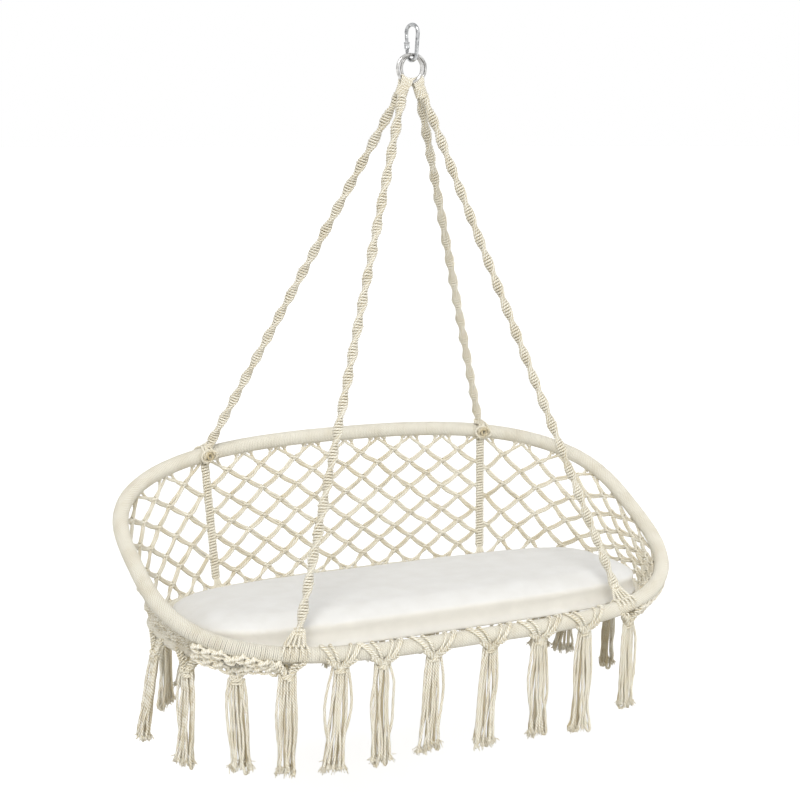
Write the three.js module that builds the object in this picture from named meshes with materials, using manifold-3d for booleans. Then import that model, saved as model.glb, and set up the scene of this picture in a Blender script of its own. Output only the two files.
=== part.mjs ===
// A two-seat macrame hammock chair that hangs from one snap hook.
// Millimetres, +Z up, front towards -Y, long side along X.
// The origin is the hang point: the inside top of the snap hook's bow.
import * as THREE from 'three';
import { mergeVertices } from 'three/addons/utils/BufferGeometryUtils.js';
import Module from 'manifold-3d';

const wasm = await Module();
wasm.setup();

// Clearance between pieces that touch, and the overrun of every cut
const GAP = 0.3;
const OVERRUN = 4;

// Where the rim's centre lies from the hang point
const RIM_BELOW_HANG = 1035;
const RIM_SET_BACK = 20;

// Upper rim: a superellipse that leans up at the back, its ends drooping
const RIM_HALF_LENGTH = 610;
const RIM_FRONT_REACH = 375;
const RIM_BACK_REACH = 313;
const RIM_POWER = 3;
const RIM_TILT = THREE.MathUtils.degToRad(27);
const RIM_DROOP = 24;
const RIM_TUBE_RADIUS = 12.5;
const RIM_WRAP_RADIUS = 16;

// Seat hoop: flat, under the rim and set in from it all round
const SEAT_BELOW_RIM = 185;
const SEAT_END_INSET = 55;
const SEAT_FRONT_INSET = 39;
const SEAT_BACK_INSET = 29;
const SEAT_POWER = 2.8;
const SEAT_TUBE_RADIUS = 9.5;
const SEAT_WRAP_RADIUS = 12.5;

// Both hoops are steel tube, each with one drain hole
const TUBE_WALL = 1.2;
const DRAIN_HOLE_RADIUS = 2;

// Ropes: where they meet the rim, how thick they are, and their lashings
const FRONT_ROPE_END_INSET = 222;
const BACK_ROPE_END_INSET = 258;
const ROPE_RADIUS = 9.5;
const FRONT_LASHING_HALF_LENGTH = 25;
const LASHING_THICKNESS = 2.5;

// Knotted back posts, from the back lashings down to the seat hoop
const POST_FOOT_INWARD = 14;
const POST_RADIUS = 11;

// Nets: where the side nets end and the front laces begin and end
const RIM_CORNER_INSET = 50;
const SEAT_CORNER_INSET = 40;
const LACE_END_BESIDE_ROPE = 12;
const SEAT_NET_END_SHARE = 0.94;
const NET_CORD_WIDTH = 8;
const NET_THICKNESS = 6;
const NET_LEAST_OPEN_SHARE = 0.45;
const NET_END_MARGIN = 3;
const BACK_NET = { columns: 8, rows: 5 };
const SIDE_NET = { columns: 7, rows: 4 };
const LACE_NET = { columns: 5, rows: 1 };
const SEAT_NET = { columns: 9, rows: 4 };

// Tassels: some hang under the rim's front, at shares of its half length,
// two of them under the front lashings, and the rest at shares round the seat hoop
const RIM_TASSEL_X_SHARE = [-0.49, -0.345, -0.158, 0.057, 0.253, 0.446];
const SEAT_TASSEL_LENGTH_SHARE = [
  0.03, 0.078, 0.175, 0.2007, 0.2458, 0.278, 0.6716, 0.7079, 0.7507, 0.8222, 0.853, 0.943, 0.985,
];
const LASHING_TASSEL_BESIDE_ROPE = 14;
const TASSEL_BELOW_SEAT = 229;
const TASSEL_CROWN_RADIUS = 4;
const TASSEL_CROWN_DEPTH = 4;
const TASSEL_KNOT_RADIUS = 12;
const TASSEL_KNOT_DEPTH = 24;
const TASSEL_NECK_RADIUS = 9;
const TASSEL_END_RADIUS = 17;

// Boxed cushion: margins inside the seat hoop, heights, crown and cover
const CUSHION_END_MARGIN = 35;
const CUSHION_FRONT_MARGIN = 27;
const CUSHION_BACK_MARGIN = 128;
const CUSHION_POWER = 4;
const CUSHION_FRONT_HEIGHT = 62;
const CUSHION_BACK_HEIGHT = 45;
const CUSHION_CROWN = 20;
const CUSHION_UNDERSIDE_RISE = 12.5;
const CUSHION_DRAW_IN = 7;
const CUSHION_EDGE_INSET = 4;
const CUSHION_CROWN_INSET = 55;
const CUSHION_TOP_INSET = 115;
const CUSHION_FOOT_INSET = 60;
const COVER_THICKNESS = 1.5;
const ZIP_LENGTH = 560;
const ZIP_HEIGHT = 8;

// Snap hook: bows and wire, gate, pin, screw sleeve
const HOOK_LENGTH = 78;
const HOOK_WIRE_RADIUS = 4;
const HOOK_TOP_BOW_RADIUS = 16;
const HOOK_FOOT_BOW_RADIUS = 13;
const HOOK_YAW = THREE.MathUtils.degToRad(18);
const GATE_RADIUS = 3.5;
const GATE_PIVOT_RISE = 6;
const GATE_EAR_REACH = 3.2;
const GATE_SLOT_DEPTH = 4.5;
const NOSE_LENGTH = 4;
const TONGUE_THICKNESS = 3;
const TONGUE_RADIUS = 2.7;
const PIN_RADIUS = 1.4;
const PIN_LENGTH = 7.6;
const SPRING_BORE_RADIUS = 2.1;
const SPRING_WALL = 0.7;
const SPRING_LENGTH = 9;
const PLUNGER_LENGTH = 4;
const SLEEVE_RADIUS = 6;
const SLEEVE_LENGTH = 13;
const SLEEVE_ABOVE_PIVOT = 3.6;

// Two welded rings on the hook's lower bow, and the rope eyes on them
const RING_RADIUS = 27.75;
const RING_WIRE_RADIUS = 3.25;
const RING_SPACING = 7.1;
const RING_SLACK = 1.3;
const SWING_HALF_ANGLE = THREE.MathUtils.degToRad(20);
const SWING_STEPS = 2;
const SWING_CLEARANCE = 0.8;
const EYE_RISE = 9.5;
const EYE_CROWN_RADIUS = 7;
const EYE_BODY_RADIUS = 10.5;
const EYE_WRAP_RADIUS = 12.5;
const EYE_WRAP_START = 9;
const EYE_LENGTH = 30;

// Facets round a wrapped hoop, a bare tube, a rope and a round metal piece
const WRAP_SIDES = 8;
const TUBE_SIDES = 6;
const ROPE_SIDES = 8;
const ROUND_SIDES = 10;
const RING_STEPS = 20;
const CUSHION_STEPS = 32;

const UP = new THREE.Vector3(0, 0, 1);
const vec = (x, y, z) => new THREE.Vector3(x, y, z);
const lerp = THREE.MathUtils.lerp;

// A closed skin of points and faces, from which each made solid is built
class Skin {
  constructor() {
    this.points = [];
    this.faces = [];
  }

  ring(points) {
    return points.map((point) => this.points.push(point) - 1);
  }

  polygon(corners) {
    for (let i = 2; i < corners.length; i += 1) this.faces.push([corners[0], corners[i - 1], corners[i]]);
  }

  // Side wall from one ring to the next, facing outwards or into a bore
  wall(from, to, bore = false) {
    from.forEach((corner, i) => {
      const next = (i + 1) % from.length;
      for (const triangle of [[corner, from[next], to[next]], [corner, to[next], to[i]]]) {
        this.polygon(bore ? triangle.reverse() : triangle);
      }
    });
  }

  // Flat band between an outer and an inner ring whose counts may differ
  band(outer, inner, forwards) {
    let i = 0;
    let j = 0;
    while (i < outer.length || j < inner.length) {
      const a = outer[i % outer.length];
      const b = inner[j % inner.length];
      const outerShare = (i + 1) / outer.length;
      const outerNext = j >= inner.length || (i < outer.length && outerShare <= (j + 1) / inner.length);
      const c = outerNext ? outer[(i + 1) % outer.length] : inner[(j + 1) % inner.length];
      this.polygon(forwards ? [a, c, b] : [b, c, a]);
      if (outerNext) i += 1;
      else j += 1;
    }
  }

  geometry() {
    const geometry = new THREE.BufferGeometry();
    geometry.setFromPoints(this.points);
    geometry.setIndex(this.faces.flat());
    return geometry;
  }
}

// Solids for joining and cutting, and back again
function solidOf(geometry) {
  const bare = geometry.clone();
  bare.deleteAttribute('normal');
  bare.deleteAttribute('uv');
  const merged = mergeVertices(bare);
  const triVerts = Uint32Array.from(merged.index.array);
  const vertProperties = Float32Array.from(merged.attributes.position.array);
  return new wasm.Manifold(new wasm.Mesh({ numProp: 3, vertProperties, triVerts }));
}

function geometryOf(solid) {
  const mesh = solid.getMesh();
  const geometry = new THREE.BufferGeometry();
  geometry.setAttribute('position', new THREE.BufferAttribute(mesh.vertProperties, 3));
  geometry.setIndex(new THREE.BufferAttribute(mesh.triVerts, 1));
  return geometry;
}

function cut(geometry, ...tools) {
  return geometryOf(tools.reduce((solid, tool) => solid.subtract(solidOf(tool)), solidOf(geometry)));
}

function join(geometry, ...others) {
  return geometryOf(others.reduce((solid, other) => solid.add(solidOf(other)), solidOf(geometry)));
}

function common(geometry, other) {
  return geometryOf(solidOf(geometry).intersect(solidOf(other)));
}

// A round bar between two points
function bar(from, to, radius, sides) {
  const axis = to.clone().sub(from);
  const geometry = new THREE.CylinderGeometry(radius, radius, axis.length(), sides);
  geometry.applyQuaternion(new THREE.Quaternion().setFromUnitVectors(vec(0, 1, 0), axis.clone().normalize()));
  const middle = from.clone().add(to).divideScalar(2);
  return geometry.translate(middle.x, middle.y, middle.z);
}

// The corner radius of a faceted circle whose flats clear a given radius
const clearing = (radius, sides) => radius / Math.cos(Math.PI / sides);

function superellipse(angle, halfLength, frontReach, backReach, power) {
  const along = Math.cos(angle);
  const across = Math.sin(angle);
  const reach = across < 0 ? frontReach : backReach;
  const shape = (value) => Math.sign(value) * Math.abs(value) ** (2 / power);
  return [halfLength * shape(along), reach * shape(across)];
}

// A closed hoop, measured by length from the middle of its back towards +X.
// Its pieces share one set of stations, so they meet facet to facet.
class Hoop {
  constructor(pointAt) {
    const samples = 720;
    const angleOf = (i) => Math.PI * (0.5 - (2 * i) / samples);
    this.samples = Array.from({ length: samples + 1 }, (_, i) => pointAt(angleOf(i)));
    this.lengths = [0];
    for (let i = 1; i <= samples; i += 1) {
      this.lengths.push(this.lengths[i - 1] + this.samples[i].distanceTo(this.samples[i - 1]));
    }
    this.length = this.lengths[samples];
  }

  wrap(length) {
    return ((length % this.length) + this.length) % this.length;
  }

  at(length) {
    const target = this.wrap(length);
    const i = Math.max(1, this.lengths.findIndex((value) => value >= target));
    const share = (target - this.lengths[i - 1]) / (this.lengths[i] - this.lengths[i - 1]);
    return this.samples[i - 1].clone().lerp(this.samples[i], share);
  }

  // The length at which the right half reaches x, at its back or its front
  lengthAtX(x, front) {
    const half = this.samples.length / 2;
    const ordered = this.samples.map((point, i) => [point.x, this.lengths[i]]).slice(0, half);
    if (front) ordered.reverse();
    const i = Math.max(1, ordered.findIndex(([value]) => value >= x));
    const share = (x - ordered[i - 1][0]) / (ordered[i][0] - ordered[i - 1][0]);
    return lerp(ordered[i - 1][1], ordered[i][1], share);
  }

  setStations(lengths) {
    const tolerance = this.length / 1e6;
    const sorted = lengths.map((length) => this.wrap(length)).sort((a, b) => a - b);
    this.stations = sorted.filter((value, i) => i === 0 || value - sorted[i - 1] > tolerance);
    this.centres = this.stations.map((length) => this.at(length));
    const count = this.stations.length;
    this.frames = this.centres.map((centre, i) => {
      const before = centre.clone().sub(this.centres[(i + count - 1) % count]).normalize();
      const after = this.centres[(i + 1) % count].clone().sub(centre).normalize();
      const tangent = before.add(after).normalize();
      const outward = UP.clone().cross(tangent).normalize();
      return { tangent, outward, up: tangent.clone().cross(outward) };
    });
  }

  // The two stations beside a length, and the share of the way between them
  beside(length) {
    const target = this.wrap(length);
    const count = this.stations.length;
    const after = this.stations.findIndex((value) => value > target);
    const to = after < 0 ? 0 : after;
    const from = (to + count - 1) % count;
    const start = this.stations[from] > target ? this.stations[from] - this.length : this.stations[from];
    const end = this.stations[to] <= start ? this.stations[to] + this.length : this.stations[to];
    return { from, to, share: (target - start) / (end - start) };
  }

  centre(length) {
    const { from, to, share } = this.beside(length);
    return this.centres[from].clone().lerp(this.centres[to], share);
  }

  direction(length, name) {
    const { from, to, share } = this.beside(length);
    return this.frames[from][name].clone().lerp(this.frames[to][name], share).normalize();
  }

  section(station, radius, sides) {
    const { outward, up } = this.frames[station];
    return Array.from({ length: sides }, (_, i) => {
      const angle = (2 * Math.PI * i) / sides;
      return this.centres[station].clone()
        .addScaledVector(outward, radius * Math.cos(angle))
        .addScaledVector(up, radius * Math.sin(angle));
    });
  }

  // A whole closed tube round the hoop
  torus(radius, sides) {
    const skin = new Skin();
    const rings = this.stations.map((_, i) => skin.ring(this.section(i, radius, sides)));
    rings.forEach((ring, i) => skin.wall(ring, rings[(i + 1) % rings.length]));
    return skin.geometry();
  }

  // An open sleeve round a tube, from one station's length to another's
  sleeve(from, to, outerRadius, innerRadius) {
    const tolerance = this.length / 1e6;
    const near = (length) => this.stations.findIndex((value) => {
      const apart = Math.abs(value - this.wrap(length));
      return Math.min(apart, this.length - apart) < tolerance;
    });
    const last = near(to);
    const picked = [near(from)];
    while (picked.at(-1) !== last) picked.push((picked.at(-1) + 1) % this.stations.length);
    const skin = new Skin();
    const outer = picked.map((i) => skin.ring(this.section(i, outerRadius, WRAP_SIDES)));
    const inner = picked.map((i) => skin.ring(this.section(i, innerRadius, TUBE_SIDES)));
    for (let i = 1; i < picked.length; i += 1) {
      skin.wall(outer[i - 1], outer[i]);
      skin.wall(inner[i - 1], inner[i], true);
    }
    skin.band(outer[0], inner[0], false);
    skin.band(outer.at(-1), inner.at(-1), true);
    return skin.geometry();
  }
}

// Even stations over a stretch of a hoop
function spaced(from, to, count) {
  return Array.from({ length: count + 1 }, (_, i) => lerp(from, to, i / count));
}

const mirrored = (hoop, lengths) => [...lengths, ...lengths.map((length) => hoop.length - length)];

const frontRopeX = RIM_HALF_LENGTH - FRONT_ROPE_END_INSET;
const backRopeX = RIM_HALF_LENGTH - BACK_ROPE_END_INSET;
const postFootX = backRopeX - POST_FOOT_INWARD;

const rim = new Hoop((angle) => {
  const [x, reach] = superellipse(angle, RIM_HALF_LENGTH, RIM_FRONT_REACH, RIM_BACK_REACH, RIM_POWER);
  const droop = RIM_DROOP * (x / RIM_HALF_LENGTH) ** 2;
  const y = RIM_SET_BACK + reach * Math.cos(RIM_TILT);
  return vec(x, y, reach * Math.sin(RIM_TILT) - droop - RIM_BELOW_HANG);
});

const seatZ = -RIM_BELOW_HANG - SEAT_BELOW_RIM;
const seatFrontY = RIM_SET_BACK - RIM_FRONT_REACH * Math.cos(RIM_TILT) + SEAT_FRONT_INSET;
const seatBackY = RIM_SET_BACK + RIM_BACK_REACH * Math.cos(RIM_TILT) - SEAT_BACK_INSET;
const seatY = (seatFrontY + seatBackY) / 2;
const seatHalfDepth = (seatBackY - seatFrontY) / 2;
const seatHalfLength = RIM_HALF_LENGTH - SEAT_END_INSET;
const seat = new Hoop((angle) => {
  const [x, y] = superellipse(angle, seatHalfLength, seatHalfDepth, seatHalfDepth, SEAT_POWER);
  return vec(x, seatY + y, seatZ);
});

// The stretches of both hoops, on the right half and from the back forwards
const rimPost = rim.lengthAtX(backRopeX, false);
const rimCorner = rim.lengthAtX(RIM_HALF_LENGTH - RIM_CORNER_INSET, true);
const rimFront = rim.lengthAtX(frontRopeX, true);
const seatPost = seat.lengthAtX(postFootX, false);
const seatCorner = seat.lengthAtX(seatHalfLength - SEAT_CORNER_INSET, true);
const seatLaceEnd = seat.lengthAtX(frontRopeX + LACE_END_BESIDE_ROPE, true);
const stretches = {
  back: { rim: [0, rimPost - POST_RADIUS], seat: [0, seatPost - POST_RADIUS] },
  side: { rim: [rimPost + POST_RADIUS, rimCorner], seat: [seatPost + POST_RADIUS, seatCorner] },
  lace: { rim: [rimCorner, rimFront - FRONT_LASHING_HALF_LENGTH], seat: [seatCorner, seatLaceEnd] },
  front: {
    rim: [rimFront + FRONT_LASHING_HALF_LENGTH, rim.length / 2],
    seat: [seatLaceEnd, seat.length / 2],
  },
};
const rimSteps = { back: BACK_NET.columns / 2, side: 2 * SIDE_NET.columns, lace: LACE_NET.columns, front: 3 };
const seatSteps = { back: BACK_NET.columns / 2, side: SIDE_NET.columns, lace: LACE_NET.columns, front: 4 };
for (const [hoop, name, steps] of [[rim, 'rim', rimSteps], [seat, 'seat', seatSteps]]) {
  const lengths = Object.keys(stretches).flatMap((key) => spaced(...stretches[key][name], steps[key]));
  hoop.setStations(mirrored(hoop, lengths));
}

// Hollow steel hoop, opened by its drain hole at the front
function tubeHoop(hoop, radius) {
  const bore = hoop.torus(radius - TUBE_WALL, TUBE_SIDES);
  const place = hoop.centre(hoop.length / 2);
  const below = place.clone().addScaledVector(UP, -radius - OVERRUN);
  return cut(hoop.torus(radius, TUBE_SIDES), bore, bar(place, below, DRAIN_HOLE_RADIUS, TUBE_SIDES));
}

// Cord wound round a stretch of a hoop
function winding(hoop, from, to, radius, tubeRadius) {
  return hoop.sleeve(from, to, radius, tubeRadius + clearing(GAP, TUBE_SIDES));
}

// What a rope, post or net is cut back from where it meets a lashing
function lashingEnvelope(hoop, length, halfLength, radius) {
  const along = hoop.direction(length, 'tangent').multiplyScalar(halfLength);
  const centre = hoop.centre(length);
  const reach = clearing(radius + LASHING_THICKNESS + GAP, ROUND_SIDES);
  return bar(centre.clone().sub(along), centre.clone().add(along), reach, ROUND_SIDES);
}

// Point on a hoop's skin, a gap off it, in the direction of another point
function seatedTowards(hoop, length, radius, target) {
  const centre = hoop.centre(length);
  const way = target.clone().sub(centre).projectOnPlane(hoop.direction(length, 'tangent')).normalize();
  return centre.addScaledVector(way, radius + GAP);
}

// A sheet of diamond mesh over a surface with even columns and rows.
// Cords cross where column plus row is even, and every other cell is open.
function meshNet(surface, { columns, rows }) {
  const across = 2 * columns;
  const down = 2 * rows;
  const skin = new Skin();
  const front = new Map();
  const corners = [];
  const pointAt = (u, v) => {
    const step = 0.25;
    const clampU = (value) => THREE.MathUtils.clamp(value, 0, across);
    const clampV = (value) => THREE.MathUtils.clamp(value, 0, down);
    const alongU = surface(clampU(u + step), v).sub(surface(clampU(u - step), v));
    const alongV = surface(u, clampV(v + step)).sub(surface(u, clampV(v - step)));
    return { point: surface(u, v), normal: alongU.cross(alongV).normalize() };
  };
  const corner = (key, u, v) => {
    if (!front.has(key)) {
      front.set(key, corners.length);
      corners.push(pointAt(u, v));
    }
    return front.get(key);
  };
  const edge = (i, j) => corner(`edge ${i} ${j}`, i, j);
  // The corner of the open cell (i, j) that points one way, or null where the edge cuts it off
  const open = (i, j, way) => {
    const [stepI, stepJ] = { east: [1, 0], north: [0, 1], west: [-1, 0], south: [0, -1] }[way];
    const inside = (a, b) => a >= 0 && a <= across && b >= 0 && b <= down;
    if (!inside(i, j) || !inside(i + stepI, j + stepJ)) return null;
    const [left, right] = [Math.max(i - 1, 0), Math.min(i + 1, across)];
    const [low, high] = [Math.max(j - 1, 0), Math.min(j + 1, down)];
    const cellWidth = surface(right, j).distanceTo(surface(left, j)) / (right - left);
    const cellHeight = surface(i, high).distanceTo(surface(i, low)) / (high - low);
    const closed = (NET_CORD_WIDTH / 2) * Math.hypot(cellWidth, cellHeight) / (cellWidth * cellHeight);
    const reach = Math.max(1 - closed, NET_LEAST_OPEN_SHARE);
    const edgeU = Math.min(NET_CORD_WIDTH / cellWidth, reach / 2);
    const edgeV = Math.min(NET_CORD_WIDTH / cellHeight, reach / 2);
    let u = i + stepI * reach;
    let v = j + stepJ * reach;
    if (stepI !== 0 && (j === 0 || j === down)) {
      u = i + stepI * (reach - edgeV);
      v = j === 0 ? edgeV : down - edgeV;
    }
    if (stepJ !== 0 && (i === 0 || i === across)) {
      v = j + stepJ * (reach - edgeU);
      u = i === 0 ? edgeU : across - edgeU;
    }
    return corner(`${i} ${j} ${way}`, u, v);
  };
  const patches = [];
  for (let i = 0; i <= across; i += 1) {
    for (let j = 0; j <= down; j += 1) {
      if ((i + j) % 2 === 0) {
        const around = [
          open(i + 1, j, 'west'), open(i, j + 1, 'south'), open(i - 1, j, 'east'), open(i, j - 1, 'north'),
        ];
        const missing = around.indexOf(null);
        if (missing >= 0) {
          const cornerNode = around.filter((value) => value === null).length > 1;
          const start = cornerNode && around[(missing + 3) % 4] === null ? (missing + 3) % 4 : missing;
          around[start] = edge(i, j);
        }
        patches.push(around.filter((value) => value !== null));
        const above = [open(i, j + 1, 'east'), open(i, j + 1, 'south'), open(i, j + 1, 'west')];
        if (i < across && j < down) {
          patches.push([open(i + 1, j, 'west'), open(i + 1, j, 'north'), above[0], above[1]]);
        }
        if (i > 0 && j < down) {
          patches.push([above[1], above[2], open(i - 1, j, 'north'), open(i - 1, j, 'east')]);
        }
      } else {
        const [east, north, west, south] = ['east', 'north', 'west', 'south'].map((way) => open(i, j, way));
        if (j === 0) patches.push([edge(i - 1, j), edge(i, j), edge(i + 1, j), east, west]);
        if (j === down) patches.push([edge(i + 1, j), edge(i, j), edge(i - 1, j), west, east]);
        if (i === 0) patches.push([edge(i, j + 1), edge(i, j - 1), south, north]);
        if (i === across) patches.push([edge(i, j - 1), edge(i, j + 1), north, south]);
      }
    }
  }
  const half = NET_THICKNESS / 2;
  const face = skin.ring(corners.map(({ point, normal }) => point.clone().addScaledVector(normal, half)));
  const rear = skin.ring(corners.map(({ point, normal }) => point.clone().addScaledVector(normal, -half)));
  const sides = new Set();
  for (const patch of patches) {
    skin.polygon(patch.map((i) => face[i]));
    skin.polygon(patch.map((i) => rear[i]).reverse());
    patch.forEach((from, i) => sides.add(`${from} ${patch[(i + 1) % patch.length]}`));
  }
  for (const side of sides) {
    const [from, to] = side.split(' ').map(Number);
    if (!sides.has(`${to} ${from}`)) skin.polygon([face[to], face[from], rear[from], rear[to]]);
  }
  return skin.geometry();
}

// A net between the seat hoop and the rim, over one stretch of each
function wallNet(rimSpan, seatSpan, size) {
  const across = 2 * size.columns;
  const down = 2 * size.rows;
  const place = ([from, to], i) => lerp(from + NET_END_MARGIN, to - NET_END_MARGIN, i / across);
  const columns = Array.from({ length: across + 1 }, (_, i) => {
    const rimLength = place(rimSpan, i);
    const seatLength = place(seatSpan, i);
    return [
      seatedTowards(seat, seatLength, SEAT_WRAP_RADIUS, rim.centre(rimLength)),
      seatedTowards(rim, rimLength, RIM_WRAP_RADIUS, seat.centre(seatLength)),
    ];
  });
  const surface = (u, v) => {
    const i = Math.min(Math.floor(u), across - 1);
    const foot = columns[i][0].clone().lerp(columns[i + 1][0], u - i);
    const head = columns[i][1].clone().lerp(columns[i + 1][1], u - i);
    return foot.lerp(head, v / down);
  };
  return meshNet(surface, size);
}

// The flat net across the seat hoop, knotted to its inner side
function seatNet() {
  const across = 2 * SEAT_NET.columns;
  const down = 2 * SEAT_NET.rows;
  const inner = (length) => seat.centre(length)
    .addScaledVector(seat.direction(length, 'outward'), -SEAT_WRAP_RADIUS - GAP);
  const columns = Array.from({ length: across + 1 }, (_, i) => {
    const x = SEAT_NET_END_SHARE * seatHalfLength * lerp(-1, 1, i / across);
    return [true, false].map((front) => {
      const length = seat.lengthAtX(Math.abs(x), front);
      return inner(x < 0 ? seat.length - length : length);
    });
  });
  const surface = (u, v) => {
    const i = Math.min(Math.floor(u), across - 1);
    const foot = columns[i][0].clone().lerp(columns[i + 1][0], u - i);
    const head = columns[i][1].clone().lerp(columns[i + 1][1], u - i);
    return foot.lerp(head, v / down);
  };
  const feet = [seatPost, -seatPost]
    .map((length) => lashingEnvelope(seat, length, POST_RADIUS + GAP, SEAT_WRAP_RADIUS));
  return cut(meshNet(surface, SEAT_NET), ...feet);
}

// One tassel under a hoop: a knot with a narrower crown, and the strands' bundle
function tassel(hoop, length, radius) {
  const place = hoop.centre(length);
  const top = place.z - radius - GAP;
  const end = seatZ - TASSEL_BELOW_SEAT;
  const profile = [
    [0, top],
    [TASSEL_CROWN_RADIUS, top],
    [TASSEL_KNOT_RADIUS, top - TASSEL_CROWN_DEPTH],
    [TASSEL_KNOT_RADIUS, top - TASSEL_KNOT_DEPTH],
    [TASSEL_NECK_RADIUS, top - TASSEL_KNOT_DEPTH],
    [TASSEL_END_RADIUS, end],
    [0, end],
  ].reverse().map(([x, y]) => new THREE.Vector2(x, y));
  const geometry = new THREE.LatheGeometry(profile, TUBE_SIDES);
  return geometry.rotateX(Math.PI / 2).translate(place.x, place.y, 0);
}

// The cushion's outside, or a layer of it some way inside
const cushionHalfLength = seatHalfLength - CUSHION_END_MARGIN;
const cushionHalfDepth = seatHalfDepth - (CUSHION_FRONT_MARGIN + CUSHION_BACK_MARGIN) / 2;
const cushionY = seatY + (CUSHION_FRONT_MARGIN - CUSHION_BACK_MARGIN) / 2;
const cushionFoot = seatZ + NET_THICKNESS / 2 + GAP;

function cushionBody(layer) {
  const topAt = (y) => {
    const share = (y - cushionY + cushionHalfDepth) / (2 * cushionHalfDepth);
    return cushionFoot + lerp(CUSHION_FRONT_HEIGHT, CUSHION_BACK_HEIGHT, share);
  };
  const underside = cushionFoot + CUSHION_UNDERSIDE_RISE;
  const levels = [
    { inset: CUSHION_FOOT_INSET, z: () => cushionFoot + layer },
    { inset: CUSHION_EDGE_INSET + layer, z: () => underside + layer },
    { inset: layer, z: () => underside + CUSHION_EDGE_INSET + layer },
    { inset: CUSHION_DRAW_IN + layer, z: (y) => (underside + topAt(y)) / 2 },
    { inset: layer, z: (y) => topAt(y) - CUSHION_EDGE_INSET - layer },
    { inset: CUSHION_EDGE_INSET + layer, z: (y) => topAt(y) - layer },
    { inset: CUSHION_CROWN_INSET, z: (y) => topAt(y) + 0.75 * CUSHION_CROWN - layer },
    { inset: CUSHION_TOP_INSET, z: (y) => topAt(y) + CUSHION_CROWN - layer },
  ];
  const skin = new Skin();
  const rings = levels.map(({ inset, z }) => skin.ring(Array.from({ length: CUSHION_STEPS }, (_, i) => {
    const angle = (2 * Math.PI * i) / CUSHION_STEPS;
    const reach = cushionHalfDepth - inset;
    const [x, y] = superellipse(angle, cushionHalfLength - inset, reach, reach, CUSHION_POWER);
    return vec(x, cushionY + y, z(cushionY + y));
  })));
  const [foot] = skin.ring([vec(0, cushionY, levels[0].z(cushionY))]);
  const [crown] = skin.ring([vec(0, cushionY, levels.at(-1).z(cushionY))]);
  rings[0].forEach((_, i) => skin.polygon([foot, rings[0][(i + 1) % CUSHION_STEPS], rings[0][i]]));
  rings.slice(1).forEach((ring, i) => skin.wall(rings[i], ring));
  rings.at(-1).forEach((_, i, top) => skin.polygon([crown, top[i], top[(i + 1) % CUSHION_STEPS]]));
  return skin.geometry();
}

// The zip's slot through the back of the cover, larger or smaller by a gap
function zipBox(grow) {
  const depth = 2 * (CUSHION_DRAW_IN + COVER_THICKNESS + OVERRUN);
  const box = new THREE.BoxGeometry(ZIP_LENGTH + 2 * grow, depth, ZIP_HEIGHT + 2 * grow);
  const back = cushionY + cushionHalfDepth - CUSHION_DRAW_IN;
  const middle = cushionFoot + (CUSHION_UNDERSIDE_RISE + CUSHION_BACK_HEIGHT) / 2;
  return box.translate(0, back, middle);
}

function cushion() {
  const shell = cut(cushionBody(0), cushionBody(COVER_THICKNESS));
  return {
    cushion_cover: cut(shell, zipBox(GAP)),
    cushion_zip: common(shell, zipBox(0)),
    cushion_insert: cushionBody(COVER_THICKNESS + GAP),
  };
}

// Snap hook, drawn in its own plane: Y towards the gate, Z up
const hookTopCentre = HOOK_WIRE_RADIUS - HOOK_TOP_BOW_RADIUS;
const hookFoot = 2 * HOOK_WIRE_RADIUS - HOOK_LENGTH + HOOK_WIRE_RADIUS;
const hookFootCentre = hookFoot + HOOK_FOOT_BOW_RADIUS;
const legFoot = vec(0, HOOK_FOOT_BOW_RADIUS, hookFootCentre);
const legTop = vec(0, HOOK_TOP_BOW_RADIUS, hookTopCentre);
const legWay = legTop.clone().sub(legFoot).normalize();
const gatePivot = legFoot.clone().addScaledVector(legWay, GATE_PIVOT_RISE);
const onLeg = (distance) => gatePivot.clone().addScaledVector(legWay, distance);
const gateLength = gatePivot.distanceTo(legTop) - NOSE_LENGTH;

function hookBody() {
  const bowSteps = 8;
  const bow = (radius, centre, from, to) => spaced(from, to, bowSteps)
    .map((angle) => vec(0, radius * Math.cos(angle), centre + radius * Math.sin(angle)));
  const path = new THREE.CatmullRomCurve3([
    ...bow(HOOK_TOP_BOW_RADIUS, hookTopCentre, 0, Math.PI),
    ...bow(HOOK_FOOT_BOW_RADIUS, hookFootCentre, -Math.PI, 0),
  ], false, 'centripetal');
  const circle = new THREE.Shape().absarc(0, 0, HOOK_WIRE_RADIUS, 0, 2 * Math.PI);
  const sweep = { steps: 26, curveSegments: 4, bevelEnabled: false, extrudePath: path };
  const wire = new THREE.ExtrudeGeometry(circle, sweep);
  const nose = bar(onLeg(gateLength), legTop.clone().addScaledVector(legWay, GAP), GATE_RADIUS, ROUND_SIDES);
  const outline = new THREE.Shape();
  outline.absarc(0, 0, TONGUE_RADIUS, 0, Math.PI);
  outline.lineTo(-TONGUE_RADIUS, -GATE_PIVOT_RISE - GAP);
  outline.lineTo(TONGUE_RADIUS, -GATE_PIVOT_RISE - GAP);
  const plate = { depth: TONGUE_THICKNESS, curveSegments: 4, bevelEnabled: false };
  const tongue = new THREE.ExtrudeGeometry(outline, plate);
  tongue.translate(0, 0, -TONGUE_THICKNESS / 2);
  placeOnLeg(tongue);
  return cut(join(wire, nose, tongue), pinBar(PIN_RADIUS + GAP));
}

// From a flat drawing (x across, y along the leg, z thick) to the gate's leg
function placeOnLeg(geometry) {
  const across = vec(1, 0, 0).cross(legWay).negate();
  const frame = new THREE.Matrix4().makeBasis(across, legWay, across.clone().cross(legWay));
  return geometry.applyMatrix4(frame.setPosition(gatePivot));
}

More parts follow.
